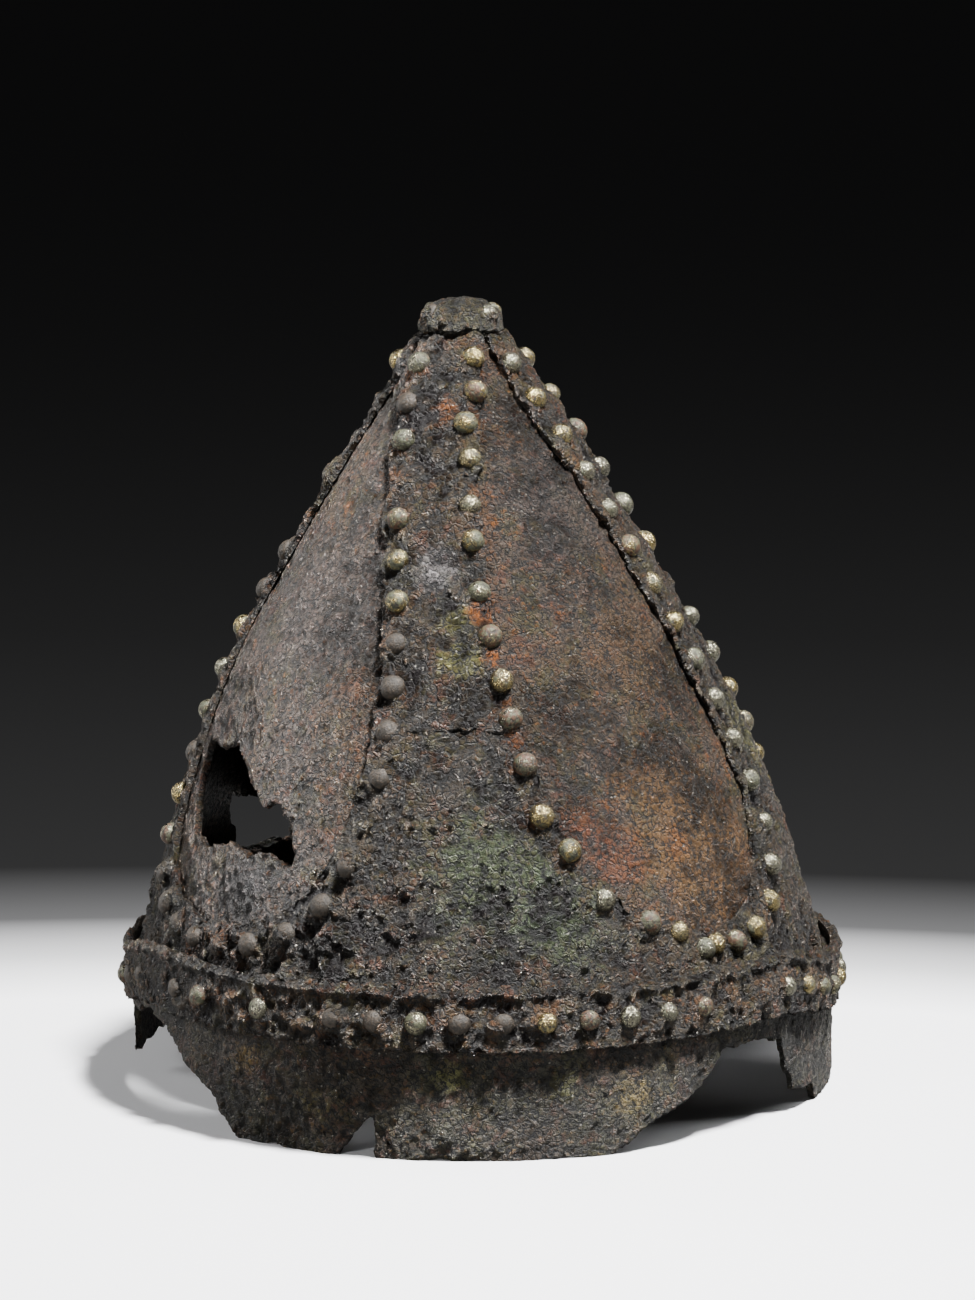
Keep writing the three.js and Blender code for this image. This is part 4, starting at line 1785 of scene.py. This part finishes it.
@dataclass
class Harness:
    """The four bands: narrow strips above and flared bases below, with crust along their edges."""

    inner: float = 0.4 * MM
    outer: float = 2.0 * MM
    voxel: float = 0.78 * MM
    layers: tuple[Layer, ...] = (
        Layer(Noise.SOFT, 15 * MM, 2.4 * MM, 2),
        Layer(Noise.SOFT, 4.5 * MM, 2.4 * MM, 3),
        Layer(Noise.CELLS, 3.4 * MM, -1.3 * MM, 1, 0.4),
        Layer(Noise.SHARP, 2.0 * MM, 1.5 * MM, 2),
    )
    nodules: int = 60
    base_swell: float = 0.22 * MM
    deep_crust_top: float = 62 * MM

    def mounds(self, node: str, rivets: list[Rivet]) -> list[Mound]:
        """Crust round each rivet, and nodules low on the helmet's left front.

        Args:
            node: The band piece.
            rivets: All rivets.

        Returns:
            The piece's mounds.
        """
        luck = random.Random(node)
        found = []
        for rivet in rivets:
            if rivet.sheet != node:
                continue
            if rivet.wear is Wear.LOST:
                rise, radius = luck.uniform(0.5, 1.2), luck.uniform(4, 5.5)
            elif rivet.wear is Wear.CRUSTED and rivet.height < self.deep_crust_top:
                rise, radius = luck.uniform(2.2, 3.0), luck.uniform(4.6, 6)
            elif rivet.wear is Wear.CRUSTED:
                rise, radius = luck.uniform(1.2, 2.0), luck.uniform(5, 6.4)
            else:
                rise, radius = luck.uniform(0.6, 1.3), luck.uniform(5, 6.4)
            found.append(Mound(rivet.angle, rivet.height, radius * MM, rise * MM))
        if node in ("base_front", "base_left"):
            low, high = (-48, -16) if node == "base_front" else (-85, -46)
            for _ in range(self.nodules):
                spot = (luck.uniform(low, high), luck.uniform(36, 58) * MM)
                found.append(Mound(*spot, luck.uniform(2.2, 5) * MM, luck.uniform(0.5, 2.0) * MM))
        return found

    def build(self, shop: "Workshop") -> None:
        """Makes the strips and bases.

        Args:
            shop: What the sub-assemblies share.
        """
        material = BAND_FINISH.build(shop.effects, shop.bowl)
        for part in ("strip", "base"):
            for band in BANDS:
                node = f"{part}_{band.name}"
                mounds = self.mounds(node, shop.rivets)
                swell = self.base_swell if part == "base" else 0.0
                faces = (self.inner, self.outer)
                sheet = Sheet(node, "band_iron", *faces, self.voxel, self.layers, mounds, swell)
                shop.make(sheet, material)


@dataclass
class Brow:
    """The brow strip with its bead, crust and rivets, and the broken rim under it."""

    strip_inner: float = 4.85 * MM
    strip_outer: float = 6.45 * MM
    strip_voxel: float = 0.78 * MM
    bead_height: float = 3.6 * MM
    bead_rise: float = 1.1 * MM
    rim_inner: float = 2.4 * MM
    rim_outer: float = 4.2 * MM
    rim_voxel: float = 0.85 * MM
    strip_layers: tuple[Layer, ...] = (
        Layer(Noise.SOFT, 9 * MM, 2.0 * MM, 2),
        Layer(Noise.SOFT, 4 * MM, 2.0 * MM, 3),
        Layer(Noise.CELLS, 3.2 * MM, -1.2 * MM, 1, 0.4),
        Layer(Noise.SHARP, 2.0 * MM, 1.4 * MM, 2),
    )
    rim_layers: tuple[Layer, ...] = (
        Layer(Noise.SOFT, 22 * MM, 1.8 * MM, 2),
        Layer(Noise.SOFT, 6 * MM, 1.0 * MM, 3),
        Layer(Noise.SHARP, 2.0 * MM, 1.6 * MM, 2),
    )

    def build(self, shop: "Workshop") -> None:
        """Makes the brow strip and the rim.

        Args:
            shop: What the sub-assemblies share.
        """
        luck = random.Random(3)
        mounds = []
        for rivet in shop.rivets:
            if rivet.sheet != "brow_strip":
                continue
            crusted = rivet.wear is Wear.CRUSTED
            rise = luck.uniform(1.2, 1.8) if crusted else luck.uniform(0.4, 1.0)
            radius = luck.uniform(4.2, 5.2)
            mounds.append(Mound(rivet.angle, rivet.height, radius * MM, rise * MM))
        top = shop.layout.brow_foot + shop.layout.brow_height
        strip = Sheet(
            "brow_strip",
            "brow_iron",
            self.strip_inner,
            self.strip_outer,
            self.strip_voxel,
            self.strip_layers,
            mounds,
            bead=(top - self.bead_height, top, self.bead_rise),
            ragged=0.6,
        )
        shop.make(strip, BROW_FINISH.build(shop.effects, shop.bowl))
        faces = (self.rim_inner, self.rim_outer)
        rim = Sheet("rim", "rim_iron", *faces, self.rim_voxel, self.rim_layers)
        shop.make(rim, RIM_FINISH.build(shop.effects, shop.bowl))


@dataclass
class Cap:
    """The small domed cap over the ends of the bands, with four rivets sunk in its crust."""

    voxel: float = 0.55 * MM
    stained: float = 0.4
    layers: tuple[Layer, ...] = (
        Layer(Noise.SOFT, 7 * MM, 2.0 * MM, 2),
        Layer(Noise.CELLS, 3 * MM, -1.0 * MM, 1, 0.4),
        Layer(Noise.SHARP, 1.8 * MM, 1.0 * MM, 2),
    )

    def build(self, shop: "Workshop") -> None:
        """Makes the cap from its CAD solid, rounded and corroded.

        Args:
            shop: What the sub-assemblies share.
        """
        sheet = Sheet("cap", "cap_metal", 0, 0, self.voxel, self.layers)
        piece = sheet.blank()
        apply_modifier(piece, "SMOOTH", factor=0.5, iterations=14)
        smooth = vertices_of(piece)
        for layer in self.layers:
            layer.press(piece)
        rough = inside_box(vertices_of(piece))
        set_vertices(piece, rough)
        middle = smooth.mean(axis=0)
        lift = np.linalg.norm(rough - middle, axis=1) - np.linalg.norm(smooth - middle, axis=1)
        paint_relief(piece, lift)
        paint_attribute(piece, "stain", np.full(len(rough), self.stained))
        finish_piece(piece, CAP_FINISH.build(shop.effects, shop.bowl), "cap_metal", "cap")


@dataclass
class Workshop:
    """What the sub-assemblies share: the bowl, its former, the layout and the shader groups."""

    bowl: Bowl = field(default_factory=Bowl)
    layout: Layout = field(init=False)
    rivets: list[Rivet] = field(init=False)
    effects: Effects = field(init=False)
    former: bpy.types.Object = field(init=False)

    def __post_init__(self) -> None:
        """Sets out the rivets, the former and the shader groups."""
        self.layout = Layout(self.bowl)
        self.rivets = self.layout.band_rivets() + self.layout.brow_row()
        self.effects = Effects()
        self.former = Former(self.bowl).build()

    def make(self, sheet: Sheet, material: bpy.types.Material) -> bpy.types.Object:
        """Makes one sheet on the former."""
        return sheet.make(self.bowl, self.layout, self.former, self.rivets, material)

    def set_rivets(self) -> None:
        """Sets the rivet heads of each band and of the brow strip."""
        heads = RivetHeads()
        head = heads.head()
        material = RivetFinish().build(self.effects)
        for band in BANDS:
            own = [r for r in self.rivets if r.sheet.endswith(f"_{band.name}")]
            heads.set_rows(f"rivets_{band.name}", own, head, self.bowl, material, "band_iron")
        own = [r for r in self.rivets if r.sheet == "brow_strip"]
        heads.set_rows("rivets_brow", own, head, self.bowl, material, "brow_iron")
        heads.set_rows("rivets_cap", CAP_ROW, head, self.bowl, material, "cap_metal")
        bpy.data.objects.remove(head)

    def clear_up(self) -> None:
        """Throws the former away."""
        bpy.data.objects.remove(self.former)


# Studio


@dataclass(frozen=True)
class Lamp:
    """One soft light: where it hangs, its width and height, and its power."""

    name: str
    place: tuple[float, float, float]
    width: float
    tall: float
    power: float

    def hang(self, target: Vector) -> None:
        """Hangs the light and turns it to the helmet.

        Args:
            target: The point that it shines at.
        """
        data = bpy.data.lights.new(self.name, "AREA")
        data.shape = "RECTANGLE"
        data.size = self.width
        data.size_y = self.tall
        data.energy = self.power
        lamp = bpy.data.objects.new(self.name, data)
        lamp.location = self.place
        lamp.rotation_euler = (Vector(self.place) - target).to_track_quat("Z", "Y").to_euler()
        bpy.context.scene.collection.objects.link(lamp)


@dataclass
class Studio:
    """The pale floor, the soft lights and the camera at the photograph's angle."""

    azimuth: float = 5.0
    elevation: float = 8.2
    distance: float = 1.4
    target: tuple[float, float, float] = (0.00139, 0.00012, 0.121)
    focal_pixels: float = 4950
    image_height: int = 1300
    thrown: Colour = (0.14, 0.14, 0.14)
    # Strength of the floor's painted glow.
    painted_glow: float = 0.0045
    painted_pool_place: tuple[float, float, float] = (0, 0.1, 0)
    painted_pool_shape: tuple[float, float, float] = (0.6, 1, 1)
    # Painted falloff of the floor's light, as pairs of distance and brightness.
    painted_falloff: tuple[tuple[float, float], ...] = (
        (0.0, 0.95),
        (0.2, 0.94),
        (0.26, 0.38),
        (0.32, 0.045),
        (0.41, 0.003),
        (1.0, 0.001),
    )
    lamps: tuple[Lamp, ...] = (
        Lamp("key", (0.42, -0.3, 1.4), 0.2, 0.2, 112),
        Lamp("right_edge", (1.0, 0.35, 0.7), 0.3, 0.7, 5),
        Lamp("left_edge", (-1.15, 0.4, 0.42), 0.5, 0.4, 10),
        Lamp("front", (-0.75, -1.15, 0.38), 0.25, 0.25, 10),
    )

    def build(self) -> None:
        """Builds the floor, the world, the lights and the camera."""
        self.lay_floor()
        self.dim_world()
        for lamp in self.lamps:
            lamp.hang(Vector(self.target))
        self.set_camera()

    def lay_floor(self) -> None:
        """Lays a wide floor with a painted pool of light: pale round the helmet, falling off to a
        painted dark far away.
        """
        put_down_all()
        bpy.ops.mesh.primitive_plane_add(size=60)
        floor = bpy.context.object
        floor.name = "floor"
        material, bench, shader, where = new_material("floor_paper")
        # Painted light and shade: the camera sees the floor pale near the helmet and darker with
        # distance. Other rays see a dark grey, so the floor throws little light back.
        near = bench.add(
            "ShaderNodeMapping", Vector=where, Location=self.painted_pool_place, Scale=self.painted_pool_shape
        ).outputs[0]
        away = bench.add("ShaderNodeVectorMath", {"operation": "LENGTH"})
        bench.feed(away.inputs[0], near)
        ramp = bench.add("ShaderNodeValToRGB", Fac=away.outputs["Value"])
        while len(ramp.color_ramp.elements) < len(self.painted_falloff):
            ramp.color_ramp.elements.new(1.0)
        for element, (place, value) in zip(ramp.color_ramp.elements, self.painted_falloff):
            element.position = place
            element.color = (value, value, value * 1.02, 1)
        seen = bench.add("ShaderNodeLightPath").outputs["Is Camera Ray"]
        tint = bench.mix(seen, self.thrown, ramp.outputs["Color"])
        bench.feed(shader.inputs["Base Color"], tint)
        shader.inputs["Roughness"].default_value = 0.9
        shader.inputs["Specular IOR Level"].default_value = 0.1
        # Painted light: the whole floor glows faintly, which lifts the far floor out of black.
        shader.inputs["Emission Color"].default_value = (1, 1, 1.03, 1)
        shader.inputs["Emission Strength"].default_value = self.painted_glow
        floor.data.materials.append(material)

    @staticmethod
    def dim_world() -> None:
        """Sets a faint even light from all round."""
        world = bpy.data.worlds.new("studio")
        world.use_nodes = True
        background = world.node_tree.nodes["Background"]
        background.inputs["Color"].default_value = (0.009, 0.009, 0.0094, 1)
        background.inputs["Strength"].default_value = 1.0
        bpy.context.scene.world = world

    def set_camera(self) -> None:
        """Sets the camera at the photograph's angle and makes it the scene's camera."""
        turn, rise = math.radians(self.azimuth), math.radians(self.elevation)
        back = Vector(
            (math.sin(turn) * math.cos(rise), -math.cos(turn) * math.cos(rise), math.sin(rise))
        )
        data = bpy.data.cameras.new("camera")
        data.sensor_width = 36
        data.lens = self.focal_pixels / self.image_height * data.sensor_width
        data.clip_start = 0.05
        camera = bpy.data.objects.new("camera", data)
        camera.location = Vector(self.target) + back * self.distance
        camera.rotation_euler = back.to_track_quat("Z", "Y").to_euler()
        bpy.context.scene.collection.objects.link(camera)
        bpy.context.scene.camera = camera


def main() -> None:
    """Builds the helmet's parts in order, then the studio."""
    logging.basicConfig(level=logging.INFO, format="%(name)s: %(message)s")
    shop = Workshop()
    for part in (Shell(), Harness(), Brow(), Cap()):
        LOG.info("building the %s", type(part).__name__.lower())
        part.build(shop)
    shop.set_rivets()
    shop.clear_up()
    Studio().build()


if __name__ == "__main__":
    main()
